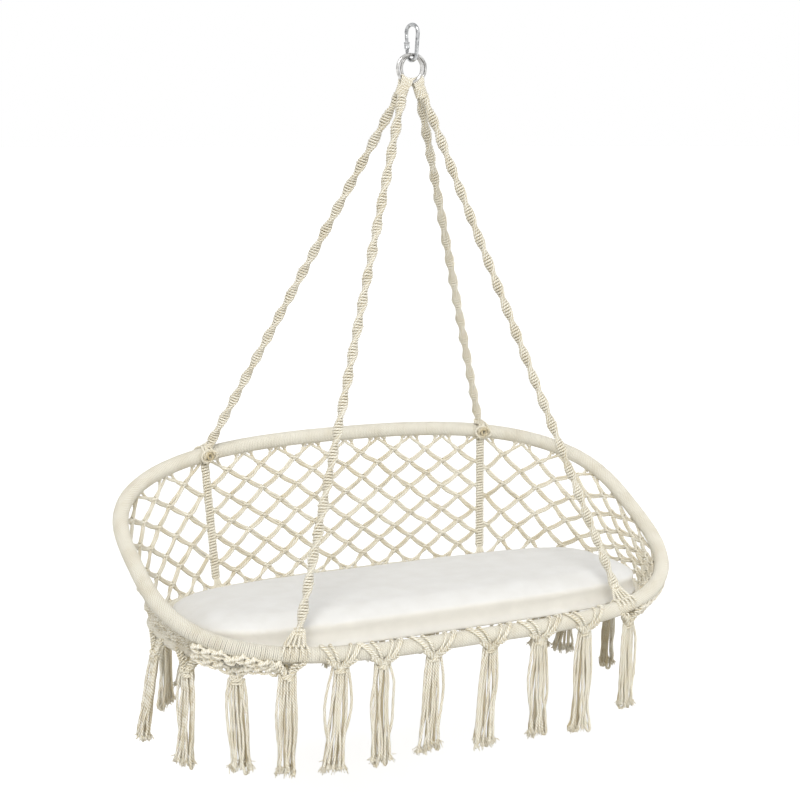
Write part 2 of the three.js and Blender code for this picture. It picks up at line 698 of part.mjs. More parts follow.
function pinBar(radius) {
  const half = vec(radius > PIN_RADIUS ? PIN_LENGTH : PIN_LENGTH / 2, 0, 0);
  return bar(gatePivot.clone().sub(half), gatePivot.clone().add(half), radius, ROUND_SIDES);
}

function hookGate() {
  const rod = bar(onLeg(-GATE_EAR_REACH), onLeg(gateLength - GAP), GATE_RADIUS, ROUND_SIDES);
  const slotLength = GATE_SLOT_DEPTH + GATE_EAR_REACH + OVERRUN;
  const slot = new THREE.BoxGeometry(4 * GATE_RADIUS, slotLength, TONGUE_THICKNESS + 2 * GAP);
  placeOnLeg(slot.translate(0, GATE_SLOT_DEPTH - slotLength / 2, 0));
  const boreDepth = PLUNGER_LENGTH + SPRING_LENGTH + 2 * GAP;
  const boreRadius = clearing(SPRING_BORE_RADIUS, ROUND_SIDES);
  const bore = bar(onLeg(0), onLeg(GATE_SLOT_DEPTH + boreDepth), boreRadius, ROUND_SIDES);
  return cut(rod, slot, bore, pinBar(PIN_RADIUS + GAP));
}

function gatePlunger() {
  const from = TONGUE_RADIUS + GAP;
  return bar(onLeg(from), onLeg(GATE_SLOT_DEPTH + PLUNGER_LENGTH), TONGUE_THICKNESS / 2, ROUND_SIDES);
}

// A ring-shaped sleeve along the gate's leg
function legSleeve(from, to, outerRadius, innerRadius) {
  const corners = [[innerRadius, from], [outerRadius, from], [outerRadius, to], [innerRadius, to]];
  const profile = [...corners, corners[0]].map(([x, y]) => new THREE.Vector2(x, y));
  return placeOnLeg(new THREE.LatheGeometry(profile, ROUND_SIDES));
}

function gateSpring() {
  const from = GATE_SLOT_DEPTH + PLUNGER_LENGTH + GAP;
  const outer = SPRING_BORE_RADIUS - GAP;
  return legSleeve(from, from + SPRING_LENGTH, outer, outer - SPRING_WALL);
}

function lockSleeve() {
  const inner = clearing(GATE_RADIUS + GAP, ROUND_SIDES);
  return legSleeve(SLEEVE_ABOVE_PIVOT, SLEEVE_ABOVE_PIVOT + SLEEVE_LENGTH, SLEEVE_RADIUS, inner);
}

// Ropes pull each ring towards the mean of their two ways
const rimFrontRight = rim.centre(rimFront);
const rimBackRight = rim.centre(rimPost);
const contact = vec(0, 0, hookFoot);
const ropePull = rimFrontRight.clone().sub(contact).normalize()
  .add(rimBackRight.clone().sub(contact).normalize()).setY(0).normalize();

// How far a ring's wire sits above the lower bow's wire, inside its curve
const ringSeatReach = HOOK_FOOT_BOW_RADIUS - HOOK_WIRE_RADIUS - RING_WIRE_RADIUS - RING_SLACK;
const ringRise = HOOK_FOOT_BOW_RADIUS - Math.sqrt(ringSeatReach ** 2 - (RING_SPACING / 2) ** 2);

// side is 1 on the right, -1 on the left, and the left ring hangs in front
function pullOn(side) {
  return vec(side * ropePull.x, 0, ropePull.z);
}

function ringCentre(side) {
  return contact.clone().addScaledVector(pullOn(side), RING_RADIUS - ringRise).setY(side * RING_SPACING / 2);
}

function ringTorus(side, wireRadius) {
  const geometry = new THREE.TorusGeometry(RING_RADIUS, wireRadius, WRAP_SIDES, RING_STEPS);
  const centre = ringCentre(side);
  return geometry.rotateX(Math.PI / 2).translate(centre.x, centre.y, centre.z);
}

// The point of a ring's wire that its rope eye hangs on
function eyeSeat(side) {
  return ringCentre(side).addScaledVector(pullOn(side), RING_RADIUS);
}

function eyeBarrel(side, grow) {
  const profile = [
    [0, -EYE_RISE - grow],
    [EYE_CROWN_RADIUS + grow, -EYE_RISE - grow],
    [EYE_BODY_RADIUS + grow, 0],
    [EYE_WRAP_RADIUS + grow, EYE_WRAP_START - grow],
    [EYE_WRAP_RADIUS + grow, EYE_LENGTH + grow],
    [0, EYE_LENGTH + grow],
  ].map(([x, y]) => new THREE.Vector2(x, y));
  const geometry = new THREE.LatheGeometry(profile, ROUND_SIDES);
  geometry.applyQuaternion(new THREE.Quaternion().setFromUnitVectors(vec(0, 1, 0), pullOn(side)));
  const place = eyeSeat(side);
  return geometry.translate(place.x, place.y, place.z);
}

// A bundled rope eye, cut clear of both rings over the whole fore-and-aft swing
function ropeEye(side) {
  const axis = eyeSeat(side);
  const angles = spaced(-SWING_HALF_ANGLE, SWING_HALF_ANGLE, SWING_STEPS);
  const sweeps = [1, -1].flatMap((ring) => angles.map((angle) => {
    const wire = ringTorus(ring, RING_WIRE_RADIUS + SWING_CLEARANCE);
    return wire.translate(0, 0, -axis.z).rotateX(angle).translate(0, 0, axis.z);
  }));
  return cut(eyeBarrel(side, 0), ...sweeps);
}

// A straight rope from under its eye to a lashing on the rim
function rope(side, length, lashingHalfLength, towardsBack) {
  const start = eyeSeat(side).addScaledVector(pullOn(side), EYE_LENGTH - OVERRUN / 2);
  start.y += towardsBack * (ROPE_RADIUS + GAP);
  const place = side > 0 ? length : rim.length - length;
  const tube = bar(start, rim.centre(place), ROPE_RADIUS, ROPE_SIDES);
  const reach = lashingHalfLength + 2 * ROPE_RADIUS;
  return cut(tube, eyeBarrel(side, GAP), lashingEnvelope(rim, place, reach, RIM_WRAP_RADIUS));
}

function post(side) {
  const head = side > 0 ? rimPost : rim.length - rimPost;
  const foot = side > 0 ? seatPost : seat.length - seatPost;
  const tube = bar(rim.centre(head), seat.centre(foot), POST_RADIUS, ROPE_SIDES);
  return cut(
    tube,
    lashingEnvelope(rim, head, 2 * POST_RADIUS, RIM_WRAP_RADIUS),
    lashingEnvelope(seat, foot, 2 * POST_RADIUS, SEAT_WRAP_RADIUS),
  );
}

// Materials
const faceted = (look) => new THREE.MeshStandardMaterial({ ...look, flatShading: true });
const cotton = (color) => faceted({ color, roughness: 0.95, metalness: 0 });
const metal = (color, roughness) => faceted({ color, roughness, metalness: 1 });
const materials = {
  cord: () => cotton(0xe9e1cf),
  canvas: () => cotton(0xf4f1ea),
  wadding: () => cotton(0xffffff),
  zipTape: () => cotton(0xefe9dc),
  zincPlate: () => metal(0xc9ccd0, 0.25),
  blackSteel: () => metal(0x3b3d40, 0.55),
};

const chair = new THREE.Group();
const hook = new THREE.Group();
hook.rotation.z = HOOK_YAW;
chair.add(hook);

function place(group, name, geometry, material) {
  const mesh = new THREE.Mesh(geometry, materials[material]());
  mesh.name = name;
  group.add(mesh);
}

function addHook() {
  place(hook, 'hook_body', hookBody(), 'zincPlate');
  place(hook, 'hook_gate', hookGate(), 'zincPlate');
  place(hook, 'gate_pin', pinBar(PIN_RADIUS), 'zincPlate');
  place(hook, 'gate_plunger', gatePlunger(), 'zincPlate');
  place(hook, 'gate_spring', gateSpring(), 'zincPlate');
  place(hook, 'lock_sleeve', lockSleeve(), 'zincPlate');
}

function addSides() {
  for (const [side, name] of [[1, 'right'], [-1, 'left']]) {
    const rimAt = (length) => (side > 0 ? length : rim.length - length);
    const seatAt = (length) => (side > 0 ? length : seat.length - length);
    const span = (at, [from, to]) => (side > 0 ? [at(from), at(to)] : [at(to), at(from)]);
    const lashingRadius = RIM_WRAP_RADIUS + LASHING_THICKNESS;
    place(chair, `ring_${name}`, ringTorus(side, RING_WIRE_RADIUS), 'zincPlate');
    place(chair, `rope_eye_${name}`, ropeEye(side), 'cord');
    place(chair, `rope_front_${name}`, rope(side, rimFront, FRONT_LASHING_HALF_LENGTH, -1), 'cord');
    place(chair, `rope_back_${name}`, rope(side, rimPost, POST_RADIUS, 1), 'cord');
    const lashings = [['front', rimFront, FRONT_LASHING_HALF_LENGTH], ['back', rimPost, POST_RADIUS]];
    for (const [end, length, half] of lashings) {
      const [from, to] = span(rimAt, [length - half, length + half]);
      place(chair, `lashing_${end}_${name}`, winding(rim, from, to, lashingRadius, RIM_TUBE_RADIUS), 'cord');
    }
    const foot = span(seatAt, [seatPost - POST_RADIUS, seatPost + POST_RADIUS]);
    const footRadius = SEAT_WRAP_RADIUS + LASHING_THICKNESS;
    place(chair, `post_${name}`, post(side), 'cord');
    place(chair, `post_foot_${name}`, winding(seat, ...foot, footRadius, SEAT_TUBE_RADIUS), 'cord');
    const rimSide = span(rimAt, [rimPost + POST_RADIUS, rimFront - FRONT_LASHING_HALF_LENGTH]);
    place(chair, `rim_wrap_${name}`, winding(rim, ...rimSide, RIM_WRAP_RADIUS, RIM_TUBE_RADIUS), 'cord');
    const sideNet = wallNet(span(rimAt, stretches.side.rim), span(seatAt, stretches.side.seat), SIDE_NET);
    place(chair, `net_${name}`, sideNet, 'cord');
    const laceNet = wallNet(span(rimAt, stretches.lace.rim), span(seatAt, stretches.lace.seat), LACE_NET);
    place(chair, `lace_${name}`, laceNet, 'cord');
  }
}

function addHoops() {
  place(chair, 'rim_tube', tubeHoop(rim, RIM_TUBE_RADIUS), 'blackSteel');
  place(chair, 'seat_tube', tubeHoop(seat, SEAT_TUBE_RADIUS), 'blackSteel');
  const rimBack = rimPost - POST_RADIUS;
  const rimFrontEnd = rimFront + FRONT_LASHING_HALF_LENGTH;
  const seatBack = seatPost - POST_RADIUS;
  const seatFront = seatPost + POST_RADIUS;
  const rimWound = (from, to) => winding(rim, from, to, RIM_WRAP_RADIUS, RIM_TUBE_RADIUS);
  const seatWound = (from, to) => winding(seat, from, to, SEAT_WRAP_RADIUS, SEAT_TUBE_RADIUS);
  place(chair, 'rim_wrap_back', rimWound(-rimBack, rimBack), 'cord');
  place(chair, 'rim_wrap_front', rimWound(rimFrontEnd, -rimFrontEnd), 'cord');
  place(chair, 'seat_wrap_back', seatWound(-seatBack, seatBack), 'cord');
  place(chair, 'seat_wrap_front', seatWound(seatFront, -seatFront), 'cord');
}

function addNets() {
  const rimSpan = [-stretches.back.rim[1], stretches.back.rim[1]];
  const seatSpan = [-stretches.back.seat[1], stretches.back.seat[1]];
  place(chair, 'net_back', wallNet(rimSpan, seatSpan, BACK_NET), 'cord');
  place(chair, 'seat_net', seatNet(), 'cord');
}

function addTassels() {
  const rimLength = (x) => (x < 0 ? rim.length - rim.lengthAtX(-x, true) : rim.lengthAtX(x, true));
  const besideRope = frontRopeX + LASHING_TASSEL_BESIDE_ROPE;
  const tassels = [
    ...SEAT_TASSEL_LENGTH_SHARE.map((share) => tassel(seat, share * seat.length, SEAT_WRAP_RADIUS)),
    ...[-besideRope, besideRope].map((x) => tassel(rim, rimLength(x), RIM_WRAP_RADIUS + LASHING_THICKNESS)),
    ...RIM_TASSEL_X_SHARE.map((share) => tassel(rim, rimLength(share * RIM_HALF_LENGTH), RIM_WRAP_RADIUS)),
  ];
  tassels.forEach((geometry, i) => {
    place(chair, `tassel_${String(i + 1).padStart(2, '0')}`, geometry, 'cord');
  });
}

function addCushion() {
  const pieces = cushion();
  place(chair, 'cushion_cover', pieces.cushion_cover, 'canvas');
  place(chair, 'cushion_insert', pieces.cushion_insert, 'wadding');
  place(chair, 'cushion_zip', pieces.cushion_zip, 'zipTape');
}

addHook();
addSides();
addHoops();
addNets();
addTassels();
addCushion();

export default chair;
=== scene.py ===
# %% [markdown]
# # A hammock chair of knotted cotton cord
#
# The chair has two steel hoops wound with cotton cord, a large one that leans up at the back and a flat one
# under it that carries the seat. Four knotted ropes rise to two rings on a snap hook, nets close the back
# and the ends, a fringe of tassels hangs all round, and one boxed cushion lies on the seat. Everything soft
# here is made of cord, so most of this lesson is about drawing lines in space and giving them a thickness.
#
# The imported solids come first. They fix where each piece is and which body it moves with, and each new piece
# then takes the place of the plain solid that stands for it. Everything is in metres, with Z up, and the
# origin is at the top of the hook, where the chair hangs.

# %% Load the solids
import math

import bpy
import numpy as np
from mathutils import Matrix, Vector


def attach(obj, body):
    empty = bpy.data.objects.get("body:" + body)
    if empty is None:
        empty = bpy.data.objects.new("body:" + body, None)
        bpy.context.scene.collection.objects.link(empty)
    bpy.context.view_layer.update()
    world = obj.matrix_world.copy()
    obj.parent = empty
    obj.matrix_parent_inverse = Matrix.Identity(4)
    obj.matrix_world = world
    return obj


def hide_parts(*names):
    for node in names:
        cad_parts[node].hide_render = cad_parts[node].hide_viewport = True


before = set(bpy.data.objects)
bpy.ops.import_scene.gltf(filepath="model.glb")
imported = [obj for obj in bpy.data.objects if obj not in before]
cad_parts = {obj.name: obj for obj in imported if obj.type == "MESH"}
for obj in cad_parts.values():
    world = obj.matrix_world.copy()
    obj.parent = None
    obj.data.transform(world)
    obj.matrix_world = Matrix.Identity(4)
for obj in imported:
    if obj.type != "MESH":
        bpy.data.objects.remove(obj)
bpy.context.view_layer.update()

# %% [markdown]
# ## The camera
#
# The photograph was taken from the chair's front left, a little above it, and from quite far off. A long
# lens gives the same flat perspective. The chair's rim was fitted to the picture to find where the camera
# stood, and the lens is shifted up as a product photographer does, so that the ropes stay nearly upright.

# %% Place the camera
rim_middle = Vector((0, 0.020, -1.035))
azimuth, elevation, roll = 0.4887, 0.2447, 0.0164
distance, picture_side, focal_pixels = 3.770, 800, 1727.3
view_way = Vector((
    math.sin(azimuth) * math.cos(elevation),
    math.cos(azimuth) * math.cos(elevation),
    -math.sin(elevation),
))
level = Vector((math.cos(azimuth), -math.sin(azimuth), 0))
upright = level.cross(view_way)
across = math.cos(roll) * level + math.sin(roll) * upright
upwards = math.cos(roll) * upright - math.sin(roll) * level
camera = bpy.data.objects.new("camera", bpy.data.cameras.new("camera"))
bpy.context.scene.collection.objects.link(camera)
camera.matrix_world = Matrix.Translation(rim_middle - distance * view_way) @ Matrix(
    (across, upwards, -view_way)
).transposed().to_4x4()
camera.data.sensor_width = 36
camera.data.lens = focal_pixels / picture_side * camera.data.sensor_width
camera.data.shift_x = 0.0006
camera.data.shift_y = 0.1496
bpy.context.scene.camera = camera
bpy.context.scene.view_settings.view_transform = "Standard"
print("camera at", [round(v, 3) for v in camera.location])

# %% [markdown]
# ## Light and ground
#
# The picture shows the chair cut out on pure white, with soft light from the front left and hardly a shadow
# under it. A world of even light gives most of that, and three broad suns give the cord its relief: the main
# one from the upper left, one low in front that reaches under the rim, and a weak one from the right. The
# ground and the sky show white to the camera through Light Path, so no extra light falls on the chair, and
# the ground still takes its soft shadow.

# %% Make the light and the ground
world = bpy.data.worlds.new("soft_room")
bpy.context.scene.world = world
world.use_nodes = True
nodes, links = world.node_tree.nodes, world.node_tree.links
sky = nodes["Background"]
sky.inputs["Color"].default_value = (0.56, 0.56, 0.56, 1)
white = nodes.new("ShaderNodeBackground")
white.inputs["Color"].default_value = (1, 1, 1, 1)
path = nodes.new("ShaderNodeLightPath")
seen = nodes.new("ShaderNodeMath")
seen.operation = "MAXIMUM"
seen_through = nodes.new("ShaderNodeMath")
seen_through.operation = "MAXIMUM"
mix = nodes.new("ShaderNodeMixShader")
links.new(path.outputs["Is Camera Ray"], seen.inputs[0])
links.new(path.outputs["Is Glossy Ray"], seen.inputs[1])
links.new(seen.outputs[0], seen_through.inputs[0])
links.new(path.outputs["Is Transmission Ray"], seen_through.inputs[1])
links.new(seen_through.outputs[0], mix.inputs["Fac"])
links.new(sky.outputs[0], mix.inputs[1])
links.new(white.outputs[0], mix.inputs[2])
links.new(mix.outputs[0], nodes["World Output"].inputs["Surface"])


def sun(name, towards, strength, softness):
    """A broad lamp that shines from the point towards the chair's middle."""
    lamp = bpy.data.lights.new(name, "SUN")
    lamp.energy = strength
    lamp.angle = math.radians(softness)
    thing = bpy.data.objects.new(name, lamp)
    bpy.context.scene.collection.objects.link(thing)
    thing.rotation_mode = "QUATERNION"
    thing.rotation_quaternion = Vector(towards).to_track_quat("Z", "Y")


sun("window_light", (-0.60, -0.90, 0.95), 1.52, 26)
sun("low_light", (-0.10, -1.0, 0.12), 0.50, 60)
sun("far_light", (0.9, -0.5, 0.6), 0.35, 50)

bpy.ops.object.select_all(action="DESELECT")
bpy.ops.mesh.primitive_plane_add(size=80, location=(0, 0, -1.72))
ground = bpy.context.object
ground.name = "ground"
ground.data.materials.append(bpy.data.materials.new("white_ground"))
paper = ground.data.materials[0]
paper.use_nodes = True
nodes, links = paper.node_tree.nodes, paper.node_tree.links
base = nodes["Principled BSDF"]
base.inputs["Base Color"].default_value = (0.72, 0.715, 0.70, 1)
base.inputs["Roughness"].default_value = 1.0
base.inputs["Emission Color"].default_value = (1, 1, 1, 1)
path = nodes.new("ShaderNodeLightPath")
seen = nodes.new("ShaderNodeMath")
seen.operation = "MAXIMUM"
glow = nodes.new("ShaderNodeMath")
glow.operation = "MULTIPLY"
glow.inputs[1].default_value = 0.56
links.new(path.outputs["Is Camera Ray"], seen.inputs[0])
links.new(path.outputs["Is Glossy Ray"], seen.inputs[1])
links.new(seen.outputs[0], glow.inputs[0])
links.new(glow.outputs[0], base.inputs["Emission Strength"])
print("ground at", ground.location.z)

# %% [markdown]
# ## The two hoops as lines
#
# On the real chair both hoops are steel tube, bent to a rounded oblong. A superellipse is the usual formula
# for such a shape: an ellipse whose cosine and sine are raised to a power below one, so its sides flatten.
# The upper hoop leans back by 27 degrees and its ends droop a little under the weight. Each hoop is kept as
# a long row of points with the length measured along it, from the back middle towards the right, so that
# every cord can be tied at a known length of the hoop, as a maker measures with a tape.

# %% Hoops
UP = np.array([0.0, 0.0, 1.0])
LEAN = math.radians(27)
RIM_CORE, RIM_CORD = 0.0128, 0.0040
SEAT_CORE, SEAT_CORD = 0.0098, 0.0034
RIM_OUTSIDE = RIM_CORE + RIM_CORD
SEAT_OUTSIDE = SEAT_CORE + SEAT_CORD


def unit(ways):
    return ways / np.linalg.norm(ways, axis=-1, keepdims=True)


def rounded(angle, power):
    """Shares of the half length and the half depth of a rounded oblong."""
    c, s = np.cos(angle), np.sin(angle)
    return np.sign(c) * np.abs(c) ** (2 / power), np.sign(s) * np.abs(s) ** (2 / power)


def rim_line(angle):
    wide, deep = rounded(angle, 3)
    reach = np.where(deep < 0, 0.375, 0.313) * deep
    return np.stack([
        0.610 * wide,
        0.020 + reach * math.cos(LEAN),
        reach * math.sin(LEAN) - 0.024 * wide ** 2 - 1.035,
    ], -1)


def seat_line(angle):
    wide, deep = rounded(angle, 2.8)
    return np.stack([0.555 * wide, -0.0026 + 0.2725 * deep, np.full_like(wide, -1.220)], -1)


class Hoop:
    """A closed line, measured from its back middle towards the right."""

    def __init__(self, line):
        self.points = line(math.pi / 2 - np.linspace(0, 2 * math.pi, 6001))
        steps = np.linalg.norm(np.diff(self.points, axis=0), axis=1)
        self.marks = np.concatenate([[0], np.cumsum(steps)])
        self.length = self.marks[-1]

    def at(self, length):
        length = np.mod(length, self.length)
        return np.stack([np.interp(length, self.marks, self.points[:, k]) for k in range(3)], -1)

    def ways(self, length):
        """Along the hoop, outwards from it and up from it."""
        length = np.asarray(length, float)
        along = unit(self.at(length + 0.003) - self.at(length - 0.003))
        outward = unit(np.cross(UP, along))
        return along, outward, np.cross(along, outward)

    def round(self, length, turn, radius):
        """A point on a circle round the hoop: turn 0 is outside, a quarter turn is on top."""
        _, outward, upward = self.ways(length)
        turn, radius = np.asarray(turn)[..., None], np.asarray(radius)[..., None]
        return self.at(length) + radius * (np.cos(turn) * outward + np.sin(turn) * upward)

    def find(self, x, front):
        """The length at which the right half reaches x, at its front or its back."""
        half = len(self.points) // 2
        xs, marks = self.points[:half, 0], self.marks[:half]
        widest = int(xs.argmax())
        if front:
            return float(np.interp(x, xs[:widest:-1], marks[:widest:-1]))
        return float(np.interp(x, xs[:widest], marks[:widest]))


rim, seat = Hoop(rim_line), Hoop(seat_line)
RIM_FRONT, RIM_BACK, RIM_CORNER = rim.find(0.388, True), rim.find(0.352, False), rim.find(0.560, True)
SEAT_FOOT, SEAT_LACE, SEAT_CORNER = seat.find(0.338, False), seat.find(0.400, True), seat.find(0.515, True)
print("rim length", round(rim.length, 3), "seat hoop length", round(seat.length, 3))

# %% [markdown]
# ## Cords from lines
#
# A cord could be a curve object with a round bevel. This chair has thousands of short cords, and a curve
# object for each would be slow and hard to keep together. So the lines of one piece are collected and swept
# into a single mesh, all at once: at each point a small ring of corners stands across the line, and
# neighbouring rings are joined by faces. The UV map runs in metres along the cord and once round it, so that
# the twist of the strands can follow the cord in the material. A cord with `lobes` has the three strands in
# its shape too: its section has three humps that turn along the cord, as on the nets and tassels, which show
# their twist. Undyed cotton isn't even, so each cord also gets its own tint as a mesh attribute, from pale
# to tan. The same attribute holds painted shade: cords that lie deep in a knot or behind others are given a
# browner colour as painted shade, where little but light from other cords reaches them, and the lace's knots
# a lighter one as painted light.

# %% The cord maker
LAY = 0.0165
shade_chance = np.random.default_rng(8)


def leads(lines):
    """For each point a way across the line, carried along it without twisting."""
    along = unit(np.gradient(lines, axis=1))
    first = np.where(np.abs(along[:, 0, 2:3]) < 0.9, UP, np.array([1.0, 0, 0]))
    way = unit(np.cross(np.cross(along[:, 0], first), along[:, 0]))
    ways = [way]
    for i in range(1, lines.shape[1]):
        way = unit(way - (way * along[:, i]).sum(-1, keepdims=True) * along[:, i])
        ways.append(way)
    return np.stack(ways, 1)


class Cords:
    """Collects swept lines, and makes them one piece."""

    def __init__(self):
        self.corners, self.faces, self.places, self.sizes, self.count = [], [], [], [], 0
        self.tones_and_shade = []

    def lay(self, lines, radius, sides=6, lead=None, lobes=0.0, tone_and_shade=0.0):
        lines = np.asarray(lines, float)
        lines = lines[None] if lines.ndim == 2 else lines
        many, steps, _ = lines.shape
        tone_and_shade = np.asarray(tone_and_shade, float)
        tone_and_shade = (tone_and_shade[:, None] if tone_and_shade.ndim == 1 else tone_and_shade) + shade_chance.normal(0, 0.05, (many, 1))
        self.tones_and_shade.append(np.repeat(np.broadcast_to(tone_and_shade, (many, steps)).reshape(-1), sides))
        along = unit(np.gradient(lines, axis=1))
        lead = leads(lines) if lead is None else np.asarray(lead, float).reshape(lines.shape)
        lead = unit(lead - (lead * along).sum(-1, keepdims=True) * along)
        side = np.cross(along, lead)
        gone = np.linalg.norm(np.diff(lines, axis=1), axis=-1)
        gone = np.concatenate([np.zeros((many, 1)), np.cumsum(gone, 1)], 1)
        turn = 2 * math.pi * np.arange(sides) / sides
        twisted = gone / LAY if lobes else np.zeros_like(gone)
        angle = turn[None, None] - 2 * math.pi * twisted[..., None]
        thick = np.broadcast_to(radius, (many, steps))[..., None] * (1 - lobes * np.cos(3 * turn))
        ring = np.cos(angle)[..., None] * lead[:, :, None] + np.sin(angle)[..., None] * side[:, :, None]
        corners = lines[:, :, None] + thick[..., None] * ring
        index = self.count + np.arange(many * steps * sides).reshape(many, steps, sides)
        near, far = index[:, :-1], index[:, 1:]
        quads = np.stack([near, np.roll(near, -1, 2), np.roll(far, -1, 2), far], -1)
        v = np.broadcast_to(np.arange(sides) / sides, quads.shape[:3])
        v0, v1 = v - twisted[:, :-1, None], v - twisted[:, 1:, None]
        u0 = np.broadcast_to(gone[:, :-1, None], v.shape)
        u1 = np.broadcast_to(gone[:, 1:, None], v.shape)
        uv = np.stack([
            np.stack([u0, v0], -1), np.stack([u0, v0 + 1 / sides], -1),
            np.stack([u1, v1 + 1 / sides], -1), np.stack([u1, v1], -1),
        ], 3)
        self.corners.append(corners.reshape(-1, 3))
        self.faces.append(quads.reshape(-1))
        self.places.append(uv.reshape(-1, 2))
        self.sizes.append(np.full(quads.size // 4, 4))
        caps = np.stack([index[:, 0, ::-1], index[:, -1]], 1)
        ends = np.stack([gone[:, 0], gone[:, -1]], 1)[..., None]
        cap_uv = np.stack([np.broadcast_to(ends, caps.shape), np.broadcast_to(turn / 7, caps.shape)], -1)
        self.faces.append(caps.reshape(-1))
        self.places.append(cap_uv.reshape(-1, 2))
        self.sizes.append(np.full(2 * many, sides))
        self.count += many * steps * sides

    def piece(self, name, material, body, *solids):
        mesh = bpy.data.meshes.new(name)
        corners, faces = np.concatenate(self.corners), np.concatenate(self.faces)
        sizes = np.concatenate(self.sizes)
        mesh.vertices.add(len(corners))
        mesh.vertices.foreach_set("co", corners.astype(np.float32).ravel())
        mesh.loops.add(len(faces))
        mesh.loops.foreach_set("vertex_index", faces.astype(np.int32))
        mesh.polygons.add(len(sizes))
        mesh.polygons.foreach_set("loop_start", np.concatenate([[0], np.cumsum(sizes)[:-1]]).astype(np.int32))
        mesh.polygons.foreach_set("use_smooth", np.ones(len(sizes), bool))
        mesh.update(calc_edges=True)
        layer = mesh.uv_layers.new(name="UVMap")
        layer.data.foreach_set("uv", np.concatenate(self.places).astype(np.float32).ravel())
        tones_and_shade = mesh.attributes.new("tone_and_shade", "FLOAT", "POINT")
        tones_and_shade.data.foreach_set("value", np.concatenate(self.tones_and_shade).astype(np.float32))
        thing = bpy.data.objects.new(name, mesh)
        bpy.context.scene.collection.objects.link(thing)
        return finish_piece(thing, material, body, "cord", *solids)


def finish_piece(thing, material, body, slot, *solids):
    """Gives a piece its finish and its body, and hides the solids that it stands for."""
    if material is not None:
        thing.data.materials.clear()
        thing.data.materials.append(material)
    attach(thing, body)
    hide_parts(*solids)
    return thing


def smooth_line(knots, steps):
    """A smooth line through a few points, after Catmull and Rom."""
    knots = np.asarray(knots, float)
    ends = np.concatenate([2 * knots[..., :1, :] - knots[..., 1:2, :], knots,
                           2 * knots[..., -1:, :] - knots[..., -2:-1, :]], -2)
    place = np.linspace(0, knots.shape[-2] - 1 - 1e-9, steps)
    i = place.astype(int)
    t = (place - i)[:, None]
    a, b, c, d = (ends[..., i + k, :] for k in range(4))
    square, cube = 2 * a - 5 * b + 4 * c - d, 3 * b - a - 3 * c + d
    return 0.5 * (2 * b + (c - a) * t + square * t ** 2 + cube * t ** 3)


print("the cord maker is ready")

# %% [markdown]
# ## Effects that several finishes share
#
# Three effects come back in more than one material, so each is a node group. *Strand twist* draws the
# grooves between a cord's strands, slanting along its UV map, and puts out a darkening of the grooves as
# painted shade. *Cotton fibre* is the fine fuzz of the fibres and the slow change of shade in undyed cotton.
# *Plain weave* crosses two sets of threads, for canvas and tape, and puts out a darkening between the threads
# as painted shade. The groups put out only heights and shades, and the shader itself stays in each material.

# %% Shared node groups
def group(name, inputs, outputs):
    tree = bpy.data.node_groups.new(name, "ShaderNodeTree")
    for label, kind, value in inputs:
        socket = tree.interface.new_socket(label, in_out="INPUT", socket_type=kind)
        if value is not None:
            socket.default_value = value
    for label in outputs:
        tree.interface.new_socket(label, in_out="OUTPUT", socket_type="NodeSocketFloat")
    return tree, tree.nodes.new("NodeGroupInput"), tree.nodes.new("NodeGroupOutput")


def sum_node(tree, operation, a, b=None, c=None):
    """One Math node, with numbers or other nodes' outputs as its inputs."""
    node = tree.nodes.new("ShaderNodeMath")
    node.operation = operation
    for i, value in enumerate((a, b, c)):
        if isinstance(value, (int, float)):
            node.inputs[i].default_value = value
        elif value is not None:
            tree.links.new(value, node.inputs[i])
    return node.outputs[0]


twist, into, out = group("strand_twist", [
    ("UV", "NodeSocketVector", None), ("Strands", "NodeSocketFloat", 3.0), ("Lay", "NodeSocketFloat", 0.018),
], ["Height", "GrooveShade"])
split = twist.nodes.new("ShaderNodeSeparateXYZ")
twist.links.new(into.outputs["UV"], split.inputs[0])
along = sum_node(twist, "DIVIDE", split.outputs[0], into.outputs["Lay"])
turns = sum_node(twist, "MULTIPLY", sum_node(twist, "ADD", along, split.outputs[1]), into.outputs["Strands"])
ridge = sum_node(twist, "ABSOLUTE", sum_node(twist, "SINE", sum_node(twist, "MULTIPLY", turns, math.pi)))
twist.links.new(sum_node(twist, "POWER", ridge, 0.6), out.inputs["Height"])
twist.links.new(sum_node(twist, "SUBTRACT", 1.0, sum_node(twist, "MINIMUM", sum_node(
    twist, "MULTIPLY", ridge, 1.7), 1.0)), out.inputs["GrooveShade"])

fibre, into, out = group("cotton_fibre", [
    ("Place", "NodeSocketVector", None), ("Fineness", "NodeSocketFloat", 900.0),
], ["Height", "Shade"])
fuzz = fibre.nodes.new("ShaderNodeTexNoise")
fuzz.inputs["Detail"].default_value = 3
fibre.links.new(into.outputs["Place"], fuzz.inputs["Vector"])
fibre.links.new(into.outputs["Fineness"], fuzz.inputs["Scale"])
slow = fibre.nodes.new("ShaderNodeTexNoise")
slow.inputs["Scale"].default_value = 26
slow.inputs["Detail"].default_value = 4
fibre.links.new(into.outputs["Place"], slow.inputs["Vector"])
fibre.links.new(fuzz.outputs["Fac"], out.inputs["Height"])
fibre.links.new(slow.outputs["Fac"], out.inputs["Shade"])

weave, into, out = group("plain_weave", [
    ("UV", "NodeSocketVector", None), ("Threads", "NodeSocketFloat", 900.0),
], ["Height", "GapShade"])
split = weave.nodes.new("ShaderNodeSeparateXYZ")
weave.links.new(into.outputs["UV"], split.inputs[0])
threads = [sum_node(weave, "MULTIPLY", split.outputs[way], into.outputs["Threads"]) for way in (0, 1)]
warp, weft = (sum_node(weave, "SINE", sum_node(weave, "MULTIPLY", along, math.pi)) for along in threads)
over = sum_node(weave, "MULTIPLY", warp, weft)
weave.links.new(sum_node(weave, "ADD", sum_node(weave, "MULTIPLY", over, 0.5), 0.5), out.inputs["Height"])
weave.links.new(sum_node(weave, "SUBTRACT", 1.0, sum_node(weave, "ABSOLUTE", over)), out.inputs["GapShade"])
print("node groups", [g.name for g in bpy.data.node_groups])
